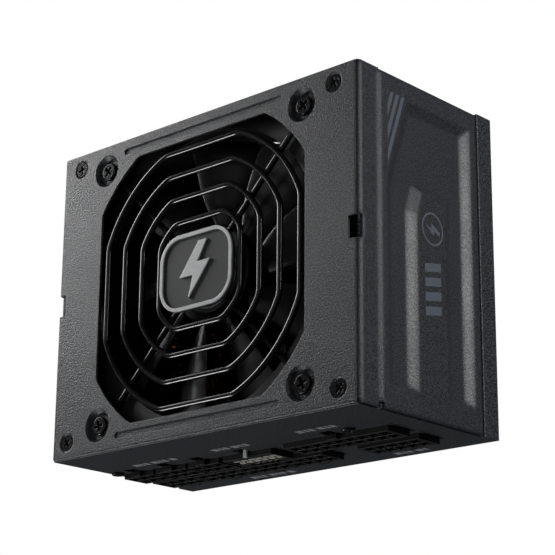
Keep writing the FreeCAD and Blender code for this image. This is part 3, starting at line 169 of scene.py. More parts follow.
# ---------------------------------------------------------------- materials

class Paint:
    """Builds one procedural material around a Principled shader."""

    def __init__(self, name, colour, roughness, metallic=0.0, **sockets):
        self.material = bpy.data.materials.new(name)
        self.material.use_nodes = True
        self.tree = self.material.node_tree
        self.shader = self.tree.nodes["Principled BSDF"]
        self.shader.inputs["Base Color"].default_value = (*colour, 1)
        self.shader.inputs["Roughness"].default_value = roughness
        self.shader.inputs["Metallic"].default_value = metallic
        for socket, value in sockets.items():
            self.shader.inputs[socket.replace("_", " ")].default_value = value
        self.place = self.tree.nodes.new("ShaderNodeTexCoord").outputs["Object"]

    def node(self, kind, **settings):
        """A new shader node with its settings."""
        made = self.tree.nodes.new("ShaderNode" + kind)
        for key, value in settings.items():
            setattr(made, key, value)
        return made

    def link(self, source, target):
        """Join an output to an input."""
        self.tree.links.new(source, target)

    def stretched(self, scale):
        """The object's coordinates, scaled along each axis."""
        made = self.node("Mapping")
        made.inputs["Scale"].default_value = scale
        self.link(self.place, made.inputs["Vector"])
        return made.outputs["Vector"]

    def noise(self, scale, detail=4.0, roughness=0.6, place=None):
        """Fractal noise; scale is in cells a metre."""
        made = self.node("TexNoise")
        made.inputs["Scale"].default_value = scale
        made.inputs["Detail"].default_value = detail
        made.inputs["Roughness"].default_value = roughness
        self.link(place or self.place, made.inputs["Vector"])
        return made.outputs["Fac"]

    def cells(self, scale, **settings):
        """Voronoi distance; scale is in cells a metre."""
        made = self.node("TexVoronoi", **settings)
        made.inputs["Scale"].default_value = scale
        self.link(self.place, made.inputs["Vector"])
        return made.outputs["Distance"]

    def math(self, operation, first, second=None):
        """Arithmetic on values or plain numbers."""
        made = self.node("Math", operation=operation)
        for index, value in enumerate((first, second)):
            if isinstance(value, (int, float)):
                made.inputs[index].default_value = value
            elif value is not None:
                self.link(value, made.inputs[index])
        return made.outputs[0]

    def spread(self, value, low, high, start=0.3, end=0.7):
        """Map a value from one range to another."""
        made = self.node("MapRange")
        made.inputs["From Min"].default_value = start
        made.inputs["From Max"].default_value = end
        made.inputs["To Min"].default_value = low
        made.inputs["To Max"].default_value = high
        self.link(value, made.inputs["Value"])
        return made.outputs["Result"]

    def ramp(self, value, dark, light, start=0.3, end=0.7):
        """A colour between two, by a value."""
        made = self.node("ValToRGB")
        made.color_ramp.elements[0].position = start
        made.color_ramp.elements[0].color = (*dark, 1)
        made.color_ramp.elements[1].position = end
        made.color_ramp.elements[1].color = (*light, 1)
        self.link(value, made.inputs["Fac"])
        return made.outputs["Color"]

    def blend(self, factor, first, second):
        """Mix two colours by a factor; a plain colour may be a tuple."""
        made = self.node("Mix", data_type="RGBA")
        self.link(factor, made.inputs[0])
        for index, colour in ((6, first), (7, second)):
            if isinstance(colour, tuple):
                made.inputs[index].default_value = (*colour, 1)
            else:
                self.link(colour, made.inputs[index])
        return made.outputs[2]

    def lit_and_worn_edge(self, radius):
        """A mask that is 1 on edges, for painting them lighter as a painted highlight and as wear, and the rounded
        normal that makes them catch the light.
        """
        soft = self.node("Bevel", samples=6)
        soft.inputs["Radius"].default_value = radius
        flat = self.node("NewGeometry")
        dot = self.node("VectorMath", operation="DOT_PRODUCT")
        self.link(soft.outputs["Normal"], dot.inputs[0])
        self.link(flat.outputs["Normal"], dot.inputs[1])
        edge = self.spread(dot.outputs["Value"], 1.0, 0.0, 0.75, 0.98)
        return edge, soft.outputs["Normal"]

    def colour(self, value):
        """Drive the base colour."""
        self.link(value, self.shader.inputs["Base Color"])

    def rough(self, value):
        """Drive the roughness."""
        self.link(value, self.shader.inputs["Roughness"])

    def bump(self, value, distance, strength=1.0, over=None):
        """Raise the surface by a value, over another normal if there is one."""
        made = self.node("Bump")
        made.inputs["Distance"].default_value = distance
        made.inputs["Strength"].default_value = strength
        self.link(value, made.inputs["Height"])
        if over is not None:
            self.link(over, made.inputs["Normal"])
        self.link(made.outputs["Normal"], self.shader.inputs["Normal"])


def shade(colour, factor):
    """A colour made darker or lighter."""
    return tuple(min(1.0, channel * factor) for channel in colour)


def powder_coat(name, soft, depth, contrast):
    """Fine sandy charcoal powder coat, painted lighter on its edges: a painted highlight, with a little rubbed
    wear.
    """
    middle = (0.041, 0.0437, 0.050)
    # a lighter grey for the edges: a painted highlight, and paint rubbed thin
    bare_and_lit = (0.10, 0.105, 0.112)
    paint = Paint(name, middle, 0.5)
    grain = paint.noise(2300, 1.0, 0.5)
    coarse = paint.noise(1500, 3.0, 0.6)
    patch = paint.noise(60, 3.0, 0.5)
    edge, normal = paint.lit_and_worn_edge(soft * MM)
    sand = paint.ramp(grain, shade(middle, 1 - contrast), shade(middle, 1 + contrast), 0.36, 0.68)
    # edges painted lighter in patches: painted highlight and rubbed wear
    rubbed_and_lit = paint.math("MULTIPLY", edge, paint.spread(coarse, 0.1, 0.6))
    paint.colour(paint.blend(rubbed_and_lit, sand, bare_and_lit))
    paint.rough(paint.math("ADD", paint.spread(coarse, 0.34, 0.46), paint.spread(patch, -0.02, 0.03)))
    height = paint.math("ADD", grain, paint.math("MULTIPLY", coarse, 0.5))
    paint.bump(height, depth * MM, 0.9, normal)
    return paint.material


def plastic(name, colour, roughness, grain_scale=1800, depth=0.02, edge_radius=0.15):
    """Moulded plastic with a fine grain and soft edges, painted lighter on the edges as a painted highlight and
    wear.
    """
    paint = Paint(name, colour, roughness)
    grain = paint.noise(grain_scale, 3.0)
    cloud = paint.noise(140, 3.0)
    edge, normal = paint.lit_and_worn_edge(edge_radius * MM)
    base = paint.ramp(cloud, shade(colour, 0.8), shade(colour, 1.2))
    # edges painted lighter: a painted highlight and a little wear
    paint.colour(paint.blend(paint.math("MULTIPLY", edge, 0.35), base, shade(colour, 2.2)))
    paint.rough(paint.spread(grain, roughness * 0.85, min(1.0, roughness * 1.15)))
    paint.bump(grain, depth * MM, 0.5, normal)
    return paint.material


def moulded_gloss(name, colour, roughness):
    """Polished moulding or lacquered wire: smooth, with faint flow clouds and fine dust in the gloss."""
    paint = Paint(name, colour, roughness)
    cloud = paint.noise(120, 3.0)
    dust = paint.noise(900, 3.0)
    base = paint.ramp(cloud, shade(colour, 0.7), shade(colour, 1.3))
    paint.colour(paint.blend(paint.spread(dust, 0.0, 0.25, 0.55, 0.8), base, shade(colour, 3.0)))
    paint.rough(paint.spread(cloud, roughness * 0.9, roughness * 1.12))
    paint.bump(cloud, 0.02 * MM, 0.4)
    return paint.material


def metal(name, colour, roughness, brushed=(900, 900, 900), edge_radius=0.12):
    """Plated or uncoated metal, brushed along the axis with the smallest scale; its edges are painted lighter as a
    painted highlight and wear.
    """
    paint = Paint(name, colour, roughness, metallic=1.0)
    lines = paint.noise(1.0, 5.0, 0.65, paint.stretched(brushed))
    stain = paint.noise(220, 4.0)
    edge, normal = paint.lit_and_worn_edge(edge_radius * MM)
    base = paint.ramp(stain, shade(colour, 0.78), shade(colour, 1.08))
    # edges painted lighter: a painted highlight and polish from wear
    paint.colour(paint.blend(paint.math("MULTIPLY", edge, 0.4), base, shade(colour, 1.4)))
    paint.rough(paint.spread(lines, roughness * 0.75, min(1.0, roughness * 1.3)))
    paint.bump(lines, 0.015 * MM, 0.5, normal)
    return paint.material


def lacquered(name, colour, roughness):
    """Black oxide or lacquer over steel, painted brown-grey on its edges: partly worn through, partly a painted
    highlight on rims and recess edges.
    """
    # a lighter brown-grey for the edges: bare steel from wear, and a painted highlight
    bare_and_lit = (0.13, 0.128, 0.125)
    paint = Paint(name, colour, roughness, Coat_Weight=0.1, Coat_Roughness=0.1)
    wear = paint.noise(900, 4.0)
    edge, normal = paint.lit_and_worn_edge(0.16 * MM)
    base = paint.ramp(paint.noise(420, 3.0), shade(colour, 0.75), shade(colour, 1.35))
    # edges painted lighter in patches: wear through the black, and a painted highlight
    worn_and_lit = paint.math("MULTIPLY", edge, paint.spread(wear, 0.15, 0.9))
    paint.colour(paint.blend(worn_and_lit, base, bare_and_lit))
    paint.rough(paint.spread(wear, roughness * 0.8, roughness * 1.3))
    paint.bump(paint.noise(2600, 2.0), 0.012 * MM, 0.5, normal)
    return paint.material


def badge_metal():
    """Brushed silver badge with a grey painted field below its rim."""
    silver = (0.60, 0.605, 0.61)
    field = (0.046, 0.047, 0.049)
    # light silver for the edges: polish and a painted highlight
    polished_and_lit = (0.8, 0.8, 0.8)
    paint = Paint("badge_metal", silver, 0.45, metallic=0.35)
    lines = paint.noise(1.0, 5.0, 0.65, paint.stretched((300, 6000, 6000)))
    edge, normal = paint.lit_and_worn_edge(0.12 * MM)
    split = paint.node("SeparateXYZ")
    paint.link(paint.place, split.inputs[0])
    field_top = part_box("badge_emblem")[0].z
    low = paint.spread(split.outputs["Z"], 1.0, 0.0, field_top + 0.05 * MM, field_top + 0.2 * MM)
    base = paint.ramp(lines, shade(silver, 0.85), shade(silver, 1.1))
    painted = paint.blend(low, base, field)
    # edges painted polished silver: a painted highlight and polish
    paint.colour(paint.blend(paint.math("MULTIPLY", edge, 0.3), painted, polished_and_lit))
    paint.rough(paint.spread(lines, 0.32, 0.5))
    paint.bump(lines, 0.012 * MM, 0.5, normal)
    return paint.material


def circuit_board():
    """Dark green solder mask over tracks, with bright pads."""
    over_track = (0.02, 0.055, 0.03)
    over_board = (0.008, 0.026, 0.014)
    tin = (0.42, 0.42, 0.38)
    paint = Paint("circuit_board", (0.012, 0.03, 0.018), 0.35, Coat_Weight=0.4, Coat_Roughness=0.2)
    tracks = paint.cells(260, distance="MANHATTAN")
    pads = paint.cells(420, feature="F1")
    mask = paint.ramp(tracks, over_track, over_board, 0.38, 0.44)
    pad_here = paint.spread(pads, 1.0, 0.0, 0.10, 0.13)
    paint.colour(paint.blend(pad_here, mask, tin))
    paint.rough(paint.spread(paint.noise(800), 0.3, 0.45))
    paint.bump(tracks, 0.03 * MM, 0.4)
    return paint.material


def taped():
    """Polyester tape wound round a transformer: thin layers, slightly wrinkled."""
    colour = (0.62, 0.44, 0.06)
    paint = Paint("winding_tape", colour, 0.3, Coat_Weight=0.6, Coat_Roughness=0.12)
    layers = paint.noise(1.0, 3.0, 0.6, paint.stretched((120, 120, 2400)))
    wrinkle = paint.noise(260, 4.0)
    paint.colour(paint.ramp(layers, shade(colour, 0.6), shade(colour, 1.15)))
    paint.rough(paint.spread(wrinkle, 0.24, 0.42))
    paint.bump(wrinkle, 0.15 * MM, 0.5)
    return paint.material


def ink(name, colour):
    """Screen-printed ink, slightly broken up by the grain under it."""
    paint = Paint(name, colour, 0.5)
    grain = paint.noise(3400, 2.0, 0.5)
    paint.colour(paint.ramp(grain, shade(colour, 0.8), shade(colour, 1.12)))
    paint.rough(paint.spread(grain, 0.45, 0.6))
    paint.bump(grain, 0.05 * MM, 0.5)
    return paint.material


FINISH = {
    "powder_coat": powder_coat("powder_coat", 0.2, 0.17, 0.95),
    "black_screw": lacquered("black_screw", (0.004, 0.004, 0.0045), 0.24),
    "plated_screw": metal("plated_screw", (0.55, 0.56, 0.57), 0.3),
    "label_film": plastic("label_film", (0.055, 0.056, 0.06), 0.42, 900, 0.01),
    "fan_plastic": plastic("fan_plastic", (0.010, 0.010, 0.011), 0.42),
    "blade_plastic": moulded_gloss("blade_plastic", (0.0035, 0.0035, 0.004), 0.30),
    "steel": metal("steel", (0.5, 0.5, 0.51), 0.3),
    "magnet": plastic("magnet", (0.05, 0.05, 0.05), 0.6),
    "bronze": metal("bronze", (0.5, 0.33, 0.16), 0.4),
    "stator_copper": metal("stator_copper", (0.6, 0.3, 0.14), 0.35, (300, 300, 5000)),
    "circuit_board": circuit_board(),
    "grille_wire": moulded_gloss("grille_wire", (0.004, 0.004, 0.0045), 0.22),
    "badge_metal": badge_metal(),
    "lead_rubber": plastic("lead_rubber", (0.014, 0.014, 0.014), 0.5, 1200, 0.03),
    "white_plastic": plastic("white_plastic", (0.66, 0.65, 0.60), 0.45),
    "clear_film": plastic("clear_film", (0.4, 0.4, 0.38), 0.3, 300, 0.1),
    "film_case": plastic("film_case", (0.52, 0.46, 0.33), 0.5, 700, 0.04),
    "capacitor_sleeve": plastic("capacitor_sleeve", (0.018, 0.02, 0.03), 0.28, 500, 0.02),
    "ferrite": plastic("ferrite", (0.035, 0.035, 0.037), 0.55, 1400, 0.05),
    "winding_tape": taped(),
    "chip_plastic": plastic("chip_plastic", (0.016, 0.016, 0.016), 0.5, 2600, 0.02),
    "heatsink_aluminium": metal("heatsink_aluminium", (0.6, 0.6, 0.61), 0.35, (200, 4000, 4000)),
    "copper_wire": metal("copper_wire", (0.32, 0.13, 0.05), 0.28, (700, 700, 700)),
    "can_aluminium": metal("can_aluminium", (0.7, 0.7, 0.71), 0.25, (2500, 2500, 300)),
    "copper_bar": metal("copper_bar", (0.65, 0.36, 0.2), 0.35, (300, 4000, 4000)),
    "socket_plastic": plastic("socket_plastic", (0.006, 0.006, 0.0062), 0.5),
    "pale_plastic": plastic("pale_plastic", (0.75, 0.75, 0.75), 0.45),
    "tinned_contact": metal("tinned_contact", (0.45, 0.45, 0.44), 0.35),
    "gilt_contact": plastic("gilt_contact", (0.52, 0.50, 0.45), 0.4, 2200, 0.01),
    "nickel_blade": metal("nickel_blade", (0.6, 0.6, 0.58), 0.28, (3000, 300, 3000)),
    "rocker_plastic": plastic("rocker_plastic", (0.012, 0.012, 0.012), 0.3),
}
PRESSED_COAT = powder_coat("powder_coat_pressed", 2.0, 0.05, 0.6)
GREY_INK = ink("grey_ink", (0.115, 0.138, 0.165))
PALE_INK = ink("pale_ink", (0.62, 0.62, 0.63))
DIM_INK = ink("dim_ink", (0.34, 0.34, 0.35))


def paint_nodes():
    """Give each CAD node its slot's material; the side panels' coat has rounder bends."""
    slot_of = {row["node"]: row["material_slot"] for row in frame["record"]["subparts"]}
    for name, obj in nodes.items():
        if not obj.material_slots:
            obj.data.materials.append(FINISH[slot_of[name]])
        pressed = name.startswith("side_panel")
        for holder in obj.material_slots:
            holder.material = PRESSED_COAT if pressed else FINISH[slot_of[name]]


# ---------------------------------------------------------------- mesh helpers

SHARP = 38                  # degrees between faces from which an edge stays sharp


def piece(name, points, faces, slot, body="case", material=None, soft=True):
    """A mesh piece from points in millimetres, riding on a body."""
    mesh = bpy.data.meshes.new(name)
    mesh.from_pydata([tuple(MM * value for value in point) for point in points], [], faces)
    mesh.update()
    build = bmesh.new()
    build.from_mesh(mesh)
    bmesh.ops.recalc_face_normals(build, faces=build.faces)
    build.to_mesh(mesh)
    build.free()
    if soft:
        mesh.shade_smooth()
        mesh.set_sharp_from_angle(angle=math.radians(SHARP))
    mesh.materials.append(material or FINISH[slot])
    obj = bpy.data.objects.new(name, mesh)
    scene.collection.objects.link(obj)
    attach(obj, body)
    return obj


def prints(name, outlines, spot, slot="label_film", material=None, body="case"):
    """Flat printed marks: closed outlines, each a hair thick. spot(u, v, lift) gives the place."""
    points = []
    faces = []
    for outline in outlines:
        first = len(points)
        count = len(outline)
        points += [spot(u, v, 0.0) for u, v in outline] + [spot(u, v, INK) for u, v in outline]
        faces.append(list(range(first, first + count)))
        faces.append(list(range(first + count, first + 2 * count)))
        for index in range(count):
            after = (index + 1) % count
            faces.append([first + index, first + after, first + count + after, first + count + index])
    return piece(name, points, faces, slot, body, material or GREY_INK, soft=False)


def bar(u, v, wide, tall, lean=0.0):
    """A printed bar from its lower corner, leaning by an amount."""
    return [(u, v), (u + wide, v), (u + wide + lean, v + tall), (u + lean, v + tall)]


def ring_outline(u, v, outer, inner, count=40):
    """A printed ring, as quads."""
    rows = []
    for index in range(count):
        first = FULL_TURN * index / count
        after = FULL_TURN * (index + 1) / count
        rows.append([(u + r * math.cos(a), v + r * math.sin(a))
                     for r, a in ((inner, first), (outer, first), (outer, after), (inner, after))])
    return rows


def bolt_outline(u, v, tall):
    """A plain lightning bolt, as two convex halves."""
    unit = tall / 2
    upper = [(0.10, 1.0), (-0.55, -0.16), (-0.02, -0.16), (0.16, 0.16), (0.42, 1.0)]
    lower = [(-0.30, -1.0), (0.58, 0.16), (0.16, 0.16), (-0.02, -0.16)]
    return [[(u + x * unit, v + y * unit) for x, y in half] for half in (upper, lower)]


def frame_outline(u, v, wide, tall, line):
    """A printed rectangle's border, as four bars."""
    return [bar(u, v, wide, line), bar(u, v + tall - line, wide, line),
            bar(u, v + line, line, tall - 2 * line), bar(u + wide - line, v + line, line, tall - 2 * line)]


# ---------------------------------------------------------------- printed marks

def side_marks(label, side):
    """Slanted pinstripes, a plain bolt in a ring and four leaning bars on a side panel."""
    face = shell_box[1].x
    top = panel_top
    back = shell_box[1].y

    def spot(down, along, lift):
        return (side * (face + lift), back - along, top - down)
    clip = 12.9             # no stripe comes nearer to the fan panel than this
    start = 6.1             # where the stripes begin, from the inlet wall
    slope = (22 - 12.7) / (32.7 - 6.5)
    stripe_wide = 1.4
    stripe_pitch = 2.5
    first_right = 20.8
    stripes = []
    for index in range(4):
        right = first_right - stripe_pitch * index
        left = right - stripe_wide
        outline = [(right, start), (clip, start + (right - clip) / slope)]
        if left > clip:
            outline += [(clip, start + (left - clip) / slope), (left, start)]
        else:
            outline += [(clip, start)]
        stripes.append(outline)
    prints("pinstripes_" + label, stripes, spot)
    mark_u = 33.0
    mark_v = 43.0
    icon = ring_outline(mark_u, mark_v, outer=5.0, inner=4.4)
    for half in bolt_outline(mark_u, mark_v, tall=6.8):
        icon.append([(mark_u + (v - mark_v), mark_v + (u - mark_u)) for u, v in half])
    prints("power_mark_" + label, icon, spot)
    near = 29.2             # the bars' two ends, down from the fan panel
    far = 36.6
    bar_wide = 2.6
    bar_pitch = 4.3
    first_along = 54.0
    lean = 1.4
    bars = []
    for index in range(4):
        along = first_along + bar_pitch * index
        bars.append([(near, along), (near, along + bar_wide),
                     (far, along + bar_wide - lean), (far, along - lean)])
    prints("bar_mark_" + label, bars, spot)


def socket_marks():
    """Short rows of bars beside the output sockets."""
    face = shell_box[0].y

    def spot(u, v, lift):
        return (u, face - lift, v)
    # each row's start, height above the label face, and length
    rows = [(-46, 41.6, 19), (-11, 42.6, 14), (25, 45.2, 14), (-31, 4.0, 19), (28, 4.0, 13)]
    widths = (2.4, 1.1, 1.7)
    gaps = (0.6, 0.6, 1.5)
    tall = 2.6
    marks = []
    for start, height, length in rows:
        u = start
        step = 0
        while u < start + length - 1.0:
            wide = widths[step % 3]
            marks.append(bar(u, height, wide, tall))
            u += wide + gaps[step % 3]
            step += 1
    prints("socket_marks", marks, spot, material=DIM_INK)


def label_marks():
    """The rating label's rules, table and plain symbols, without words."""
    low, high = box_mm("rating_label")

    def spot(u, v, lift):
        return (-u, v, low.z - lift)
    margin = 3
    half_u = high.x - margin
    half_v = high.y - margin
    left = -half_u + margin
    marks = frame_outline(-half_u, -half_v, 2 * half_u, 2 * half_v, 0.35)
    table_top = half_v - 12
    rows = 5
    columns = 7
    rule = 0.25
    row_high = 4.2
    text_lift = 1.5
    text_tall = 1.3
    for row in range(rows + 1):
        marks.append(bar(left, table_top - row * row_high, 2 * (half_u - margin), rule))
    column = 2 * (half_u - margin) / columns
    for step in range(columns + 1):
        marks.append(bar(left + step * column - rule / 2, table_top - rows * row_high,
                         rule, rows * row_high))
    rand = random.Random(7)
    for row in range(rows):
        for step in range(columns):
            wide = column * rand.uniform(0.35, 0.7)
            centre = left + (step + 0.5) * column
            marks.append(bar(centre - wide / 2, table_top - (row + 1) * row_high + text_lift,
                             wide, text_tall))
    heading = half_v - 5.4
    heading_pitch = 4
    for row, length in enumerate((34, 26)):
        marks.append(bar(left, heading - heading_pitch * row, length, 2.0 - 0.7 * row))
    first_line = -half_v + 13
    line_pitch = 2.6
    line_tall = 1.0
    lines_right = -6
    word_gap = 0.7
    for row in range(5):
        u = left
        while u < lines_right:
            wide = rand.uniform(1.2, 4.5)
            marks.append(bar(u, first_line - line_pitch * row, wide, line_tall))
            u += wide + word_gap
    prints("label_marks", marks, spot, material=PALE_INK)
    symbols = []
    u = 6.0
    v = -half_v + 7.5
    symbols += ring_outline(u, v, 4.4, 3.9) + bolt_outline(u, v, 5.6)
    symbols += frame_outline(u + 7, v - 4.2, 8.4, 8.4, 0.45) + frame_outline(u + 9.2, v - 2, 4, 4, 0.45)
    outer = [(u + 24, v + 4.6), (u + 18.8, v - 4.2), (u + 29.2, v - 4.2)]
    inner = [(u + 24, v + 3.4), (u + 19.9, v - 3.5), (u + 28.1, v - 3.5)]
    symbols += [[outer[i], outer[(i + 1) % 3], inner[(i + 1) % 3], inner[i]] for i in range(3)]
    symbols += [bar(u + 23.6, v - 1.2, 0.8, 3.2), bar(u + 23.6, v - 2.7, 0.8, 0.8)]
    prints("label_symbols", symbols, spot, material=PALE_INK)
    code = []
    code_right = half_u - 8
    code_long = 23
    code_low = half_v - 9.5
    code_tall = 6.5
    u = code_right
    while u > code_right - code_long:
        wide = rand.choice((0.3, 0.5, 0.8))
        u -= wide
        code.append(bar(u, code_low, wide, code_tall))
        u -= rand.choice((0.3, 0.5, 0.7))
    prints("label_code", code, spot, material=PALE_INK)


def rocker_marks():
    """The plain on and off signs on the rocker's hollow face."""
    hinge = next(joint for joint in frame["joints"] if joint["name"] == "rocker_tilt")
    pivot = Vector(hinge["pos_m"]) / MM
    half = 6.75             # half the rocker's width
    dip = 0.9               # depth of the hollow
    reach = 4.4             # nearly how far the raised edge stands out from the pivot
    tilt = math.radians(9)  # half of the rocker's throw
    low_front = reach - math.tan(tilt) * half - dip
    radius = (half * half + dip * dip) / (2 * dip)

    def spot(u, v, lift):
        y = low_front + radius - math.sqrt(radius * radius - u * u) + lift
        return (pivot.x + u * math.cos(tilt) + y * math.sin(tilt),
                pivot.y - u * math.sin(tilt) + y * math.cos(tilt), pivot.z + v)
    marks = [bar(-4.1, -1.8, 0.6, 3.6)] + ring_outline(3.8, 0, 1.8, 1.3)
    prints("rocker_marks", marks, spot, "rocker_plastic", PALE_INK, "rocker")


def hub_label():
    """The sticker on the fan's hub: a disc with a printed ring, a bolt and three bars."""
    top = box_mm("fan_rotor")[1].z
    thick = 0.1
    sides = 72
    profile = [(0, 0), (11.6, 0), (11.8, 0.04), (11.8, 0.08), (11.6, thick), (0, thick)]
    disc = lathe(profile, (0, 0, top), sides)
    piece("hub_label", *disc, "label_film", "fan_wheel")

    def spot(u, v, lift):
        return (u, v, top + lift + thick)
    marks = ring_outline(0, 0, outer=10.6, inner=10.2, count=sides) + bolt_outline(0, 3.0, tall=7)
    marks += [bar(-6, -3.4 - 1.9 * row, 12 - 2 * row, 0.9) for row in range(3)]
    prints("hub_print", marks, spot, "label_film", PALE_INK, "fan_wheel")


# ---------------------------------------------------------------- swept and turned shapes

def lathe(profile, centre, count=48, axis="Z"):
    """A profile of (radius, height) turned about an axis through a centre."""
    points = []
    faces = []
    rows = len(profile)
    for index in range(count):
        angle = FULL_TURN * index / count
        for radius, height in profile:
            flat = (radius * math.cos(angle), radius * math.sin(angle), height)
            if axis == "X":
                flat = (flat[2], flat[0], flat[1])
            points.append(tuple(a + b for a, b in zip(centre, flat)))
    for index in range(count):
        after = (index + 1) % count
        for row in range(rows - 1):
            near = index * rows + row
            far = after * rows + row
            faces.append([near, far, far + 1, near + 1])
    return merged(points, faces)


def merged(points, faces):
    """Drop repeated points and the empty faces they leave."""
    seen = {}
    place = []
    kept = []
    for point in points:
        key = tuple(round(value, 5) for value in point)
        if key not in seen:
            seen[key] = len(kept)
            kept.append(point)
        place.append(seen[key])
    clean = []
    for face in faces:
        ring = []
        for index in face:
            if not ring or ring[-1] != place[index]:
                ring.append(place[index])
        if ring[0] == ring[-1]:
            ring.pop()
        if len(ring) > 2:
            clean.append(ring)
    return kept, clean


def together(parts):
    """Join several (points, faces) into one."""
    points = []
    faces = []
    for some_points, some_faces in parts:
        first = len(points)
        points += some_points
        faces += [[index + first for index in face] for face in some_faces]
    return points, faces


def sweep(path, radius, sides):
    """A round wire along a path."""
    path = [Vector(point) for point in path]
    count = len(path)
    points = []
    faces = []
    normal = None
    for index, point in enumerate(path):
        before = path[index - 1] if index else point
        after = path[index + 1] if index < count - 1 else point
        way = (after - before).normalized()
        if normal is None:
            normal = way.orthogonal()
        normal = (normal - way * normal.dot(way)).normalized()
        across = way.cross(normal)
        for side in range(sides):
            angle = FULL_TURN * side / sides
            points.append(tuple(point + (normal * math.cos(angle) + across * math.sin(angle)) * radius))
    for index in range(count - 1):
        after = index + 1
        for side in range(sides):
            beside = (side + 1) % sides
            faces.append([index * sides + side, index * sides + beside,
                          after * sides + beside, after * sides + side])
    faces.append(list(range(sides)))
    faces.append(list(range((count - 1) * sides, count * sides)))
    return points, faces


def smooth_path(corners, steps=8, share=0.35):
    """Round off the corners of a path."""
    corners = [Vector(corner) for corner in corners]
    path = [corners[0]]
    for before, corner, after in zip(corners, corners[1:], corners[2:]):
        start = corner.lerp(before, share)
        end = corner.lerp(after, share)
        for step in range(steps + 1):
            t = step / steps
            path.append(start.lerp(corner, t).lerp(corner.lerp(end, t), t))
    path.append(corners[-1])
    return path


# ---------------------------------------------------------------- wound, canned and wired parts

def wound_ring(centre, outer, inner, thick, wire, turns, axis, first, span):
    """One layer of wire wound round a ring core, as one swept path."""
    path = []
    steps = 16
    squareness = 0.45       # 1 would wind a round section, 0 a square one
    mid = (outer + inner) / 2
    half_r = (outer - inner) / 2 + wire
    half_z = thick / 2 + wire
    for index in range(turns * steps + 1):
        angle = first + span * index / (turns * steps)
        turn = FULL_TURN * index / steps
        squared = [math.copysign(abs(value) ** squareness, value)
                   for value in (math.cos(turn), math.sin(turn))]
        radius = mid + half_r * squared[0]
        flat = (radius * math.cos(angle), radius * math.sin(angle), half_z * squared[1])
        if axis == "X":
            flat = (flat[2], flat[0], flat[1])
        path.append(tuple(a + b for a, b in zip(centre, flat)))
    return sweep(path, wire, 8)


def ring_core(centre, outer, inner, thick, axis):
    """A coated ring core with rounded edges."""
    half = thick / 2
    soft = 0.8
    profile = [(inner + soft, -half), (outer - soft, -half), (outer, -half + soft), (outer, half - soft),
               (outer - soft, half), (inner + soft, half), (inner, half - soft), (inner, -half + soft),
               (inner + soft, -half)]
    return lathe(profile, centre, 64, axis)


def chokes():
    """Copper turns for the large choke, and turns and cores for the two line chokes."""
    low, high = box_mm("pfc_choke_core")
    centre = (low + high) / 2
    gap = 0.35              # half the angle left bare between a winding's ends
    winding = wound_ring(centre, outer=13, inner=7.5, thick=10, wire=0.8, turns=26, axis="X",
                         first=gap, span=FULL_TURN - 2 * gap)
    coil = piece("choke_turns", *winding, "copper_wire")
    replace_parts(coil, "pfc_choke_winding")
    low, high = box_mm("line_chokes")
    reach = 7.5             # from the box's side to a choke's centre
    wire = 0.45
    outer = 6.6
    inner = 4.1
    thick = 7.2
    gap = 0.25
    places = ((low.x + reach, high.y - reach), (high.x - reach, low.y + reach))
    middle = (low.z + high.z) / 2
    turns = []
    cores = []
    for x, y in places:
        cores.append(ring_core((x, y, middle), outer, inner, thick, "Z"))
        for start in (gap, math.pi + gap):
            turns.append(wound_ring((x, y, middle), outer, inner, thick, wire, 11, "Z",
                                    start, math.pi - 2 * gap))
    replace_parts(piece("line_choke_turns", *together(turns), "copper_wire"), "line_chokes")
    piece("line_choke_cores", *together(cores), "ferrite")


def can(x, y, low, high, radius, crimp=0.9):
    """A capacitor: sleeve over a can with a rolled shoulder, a crimp and a top sunk inside a lip."""
    profile = [(0, low), (radius - 0.4, low), (radius, low + 0.3), (radius, low + 1.6),
               (radius - crimp * 0.5, low + 2.2), (radius, low + 2.8), (radius, high - 0.9),
               (radius - 0.12, high - 0.4), (radius - 0.4, high - 0.1), (radius - 0.9, high),
               (radius - 1.1, high - 0.12), (radius - 1.2, high - 0.3), (0, high - 0.3)]
    return lathe(profile, (x, y, 0), 48)


def can_tops(places, high, radius):
    """Bare aluminium tops with a three-way score, inside the sleeve's lip."""
    parts = []
    flat = radius - 1.15
    lid = high - 0.14
    for x, y in places:
        parts.append(lathe([(0, lid - 0.2), (flat, lid - 0.2), (flat, lid), (flat - 0.3, lid + 0.05),
                            (0, lid + 0.05)], (x, y, 0), 36))
        for turn in range(3):
            angle = FULL_TURN * turn / 3 + 0.4
            reach = 0.75 * flat
            end = (x + reach * math.cos(angle), y + reach * math.sin(angle), lid + 0.05)
            parts.append(sweep([(x, y, lid + 0.05), end], 0.12, 6))
    return together(parts)


def capacitors():
    """The bulk, output and polymer capacitors."""
    low, high = box_mm("bulk_capacitor")
    radius = (high.x - low.x) / 2
    spot = ((low.x + high.x) / 2, (low.y + high.y) / 2)
    sleeve = can(*spot, low.z, high.z, radius, crimp=1.6)
    bulk = piece("bulk_capacitor_can", *sleeve, "capacitor_sleeve")
    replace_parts(bulk, "bulk_capacitor")
    piece("bulk_capacitor_top", *can_tops([spot], high.z, radius), "can_aluminium")
    low, high = box_mm("output_capacitors")
    radius = (high.y - low.y) / 2
    y = (high.y + low.y) / 2
    count = 6
    pitch = (high.x - low.x - 2 * radius) / (count - 1)
    places = [(low.x + radius + pitch * index, y) for index in range(count)]
    cans = together([can(*place, low.z, high.z, radius) for place in places])
    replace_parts(piece("output_capacitor_cans", *cans, "capacitor_sleeve"), "output_capacitors")
    piece("output_capacitor_tops", *can_tops(places, high.z, radius), "can_aluminium")
    low, high = box_mm("polymer_capacitors")
    radius = 3.15
    places = ((-28, -17), (-20, -16), (31, -15), (31, -8))      # as in the CAD
    cans = together([can(*place, low.z, high.z, radius, crimp=0.6) for place in places])
    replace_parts(piece("polymer_capacitor_cans", *cans, "can_aluminium"), "polymer_capacitors")


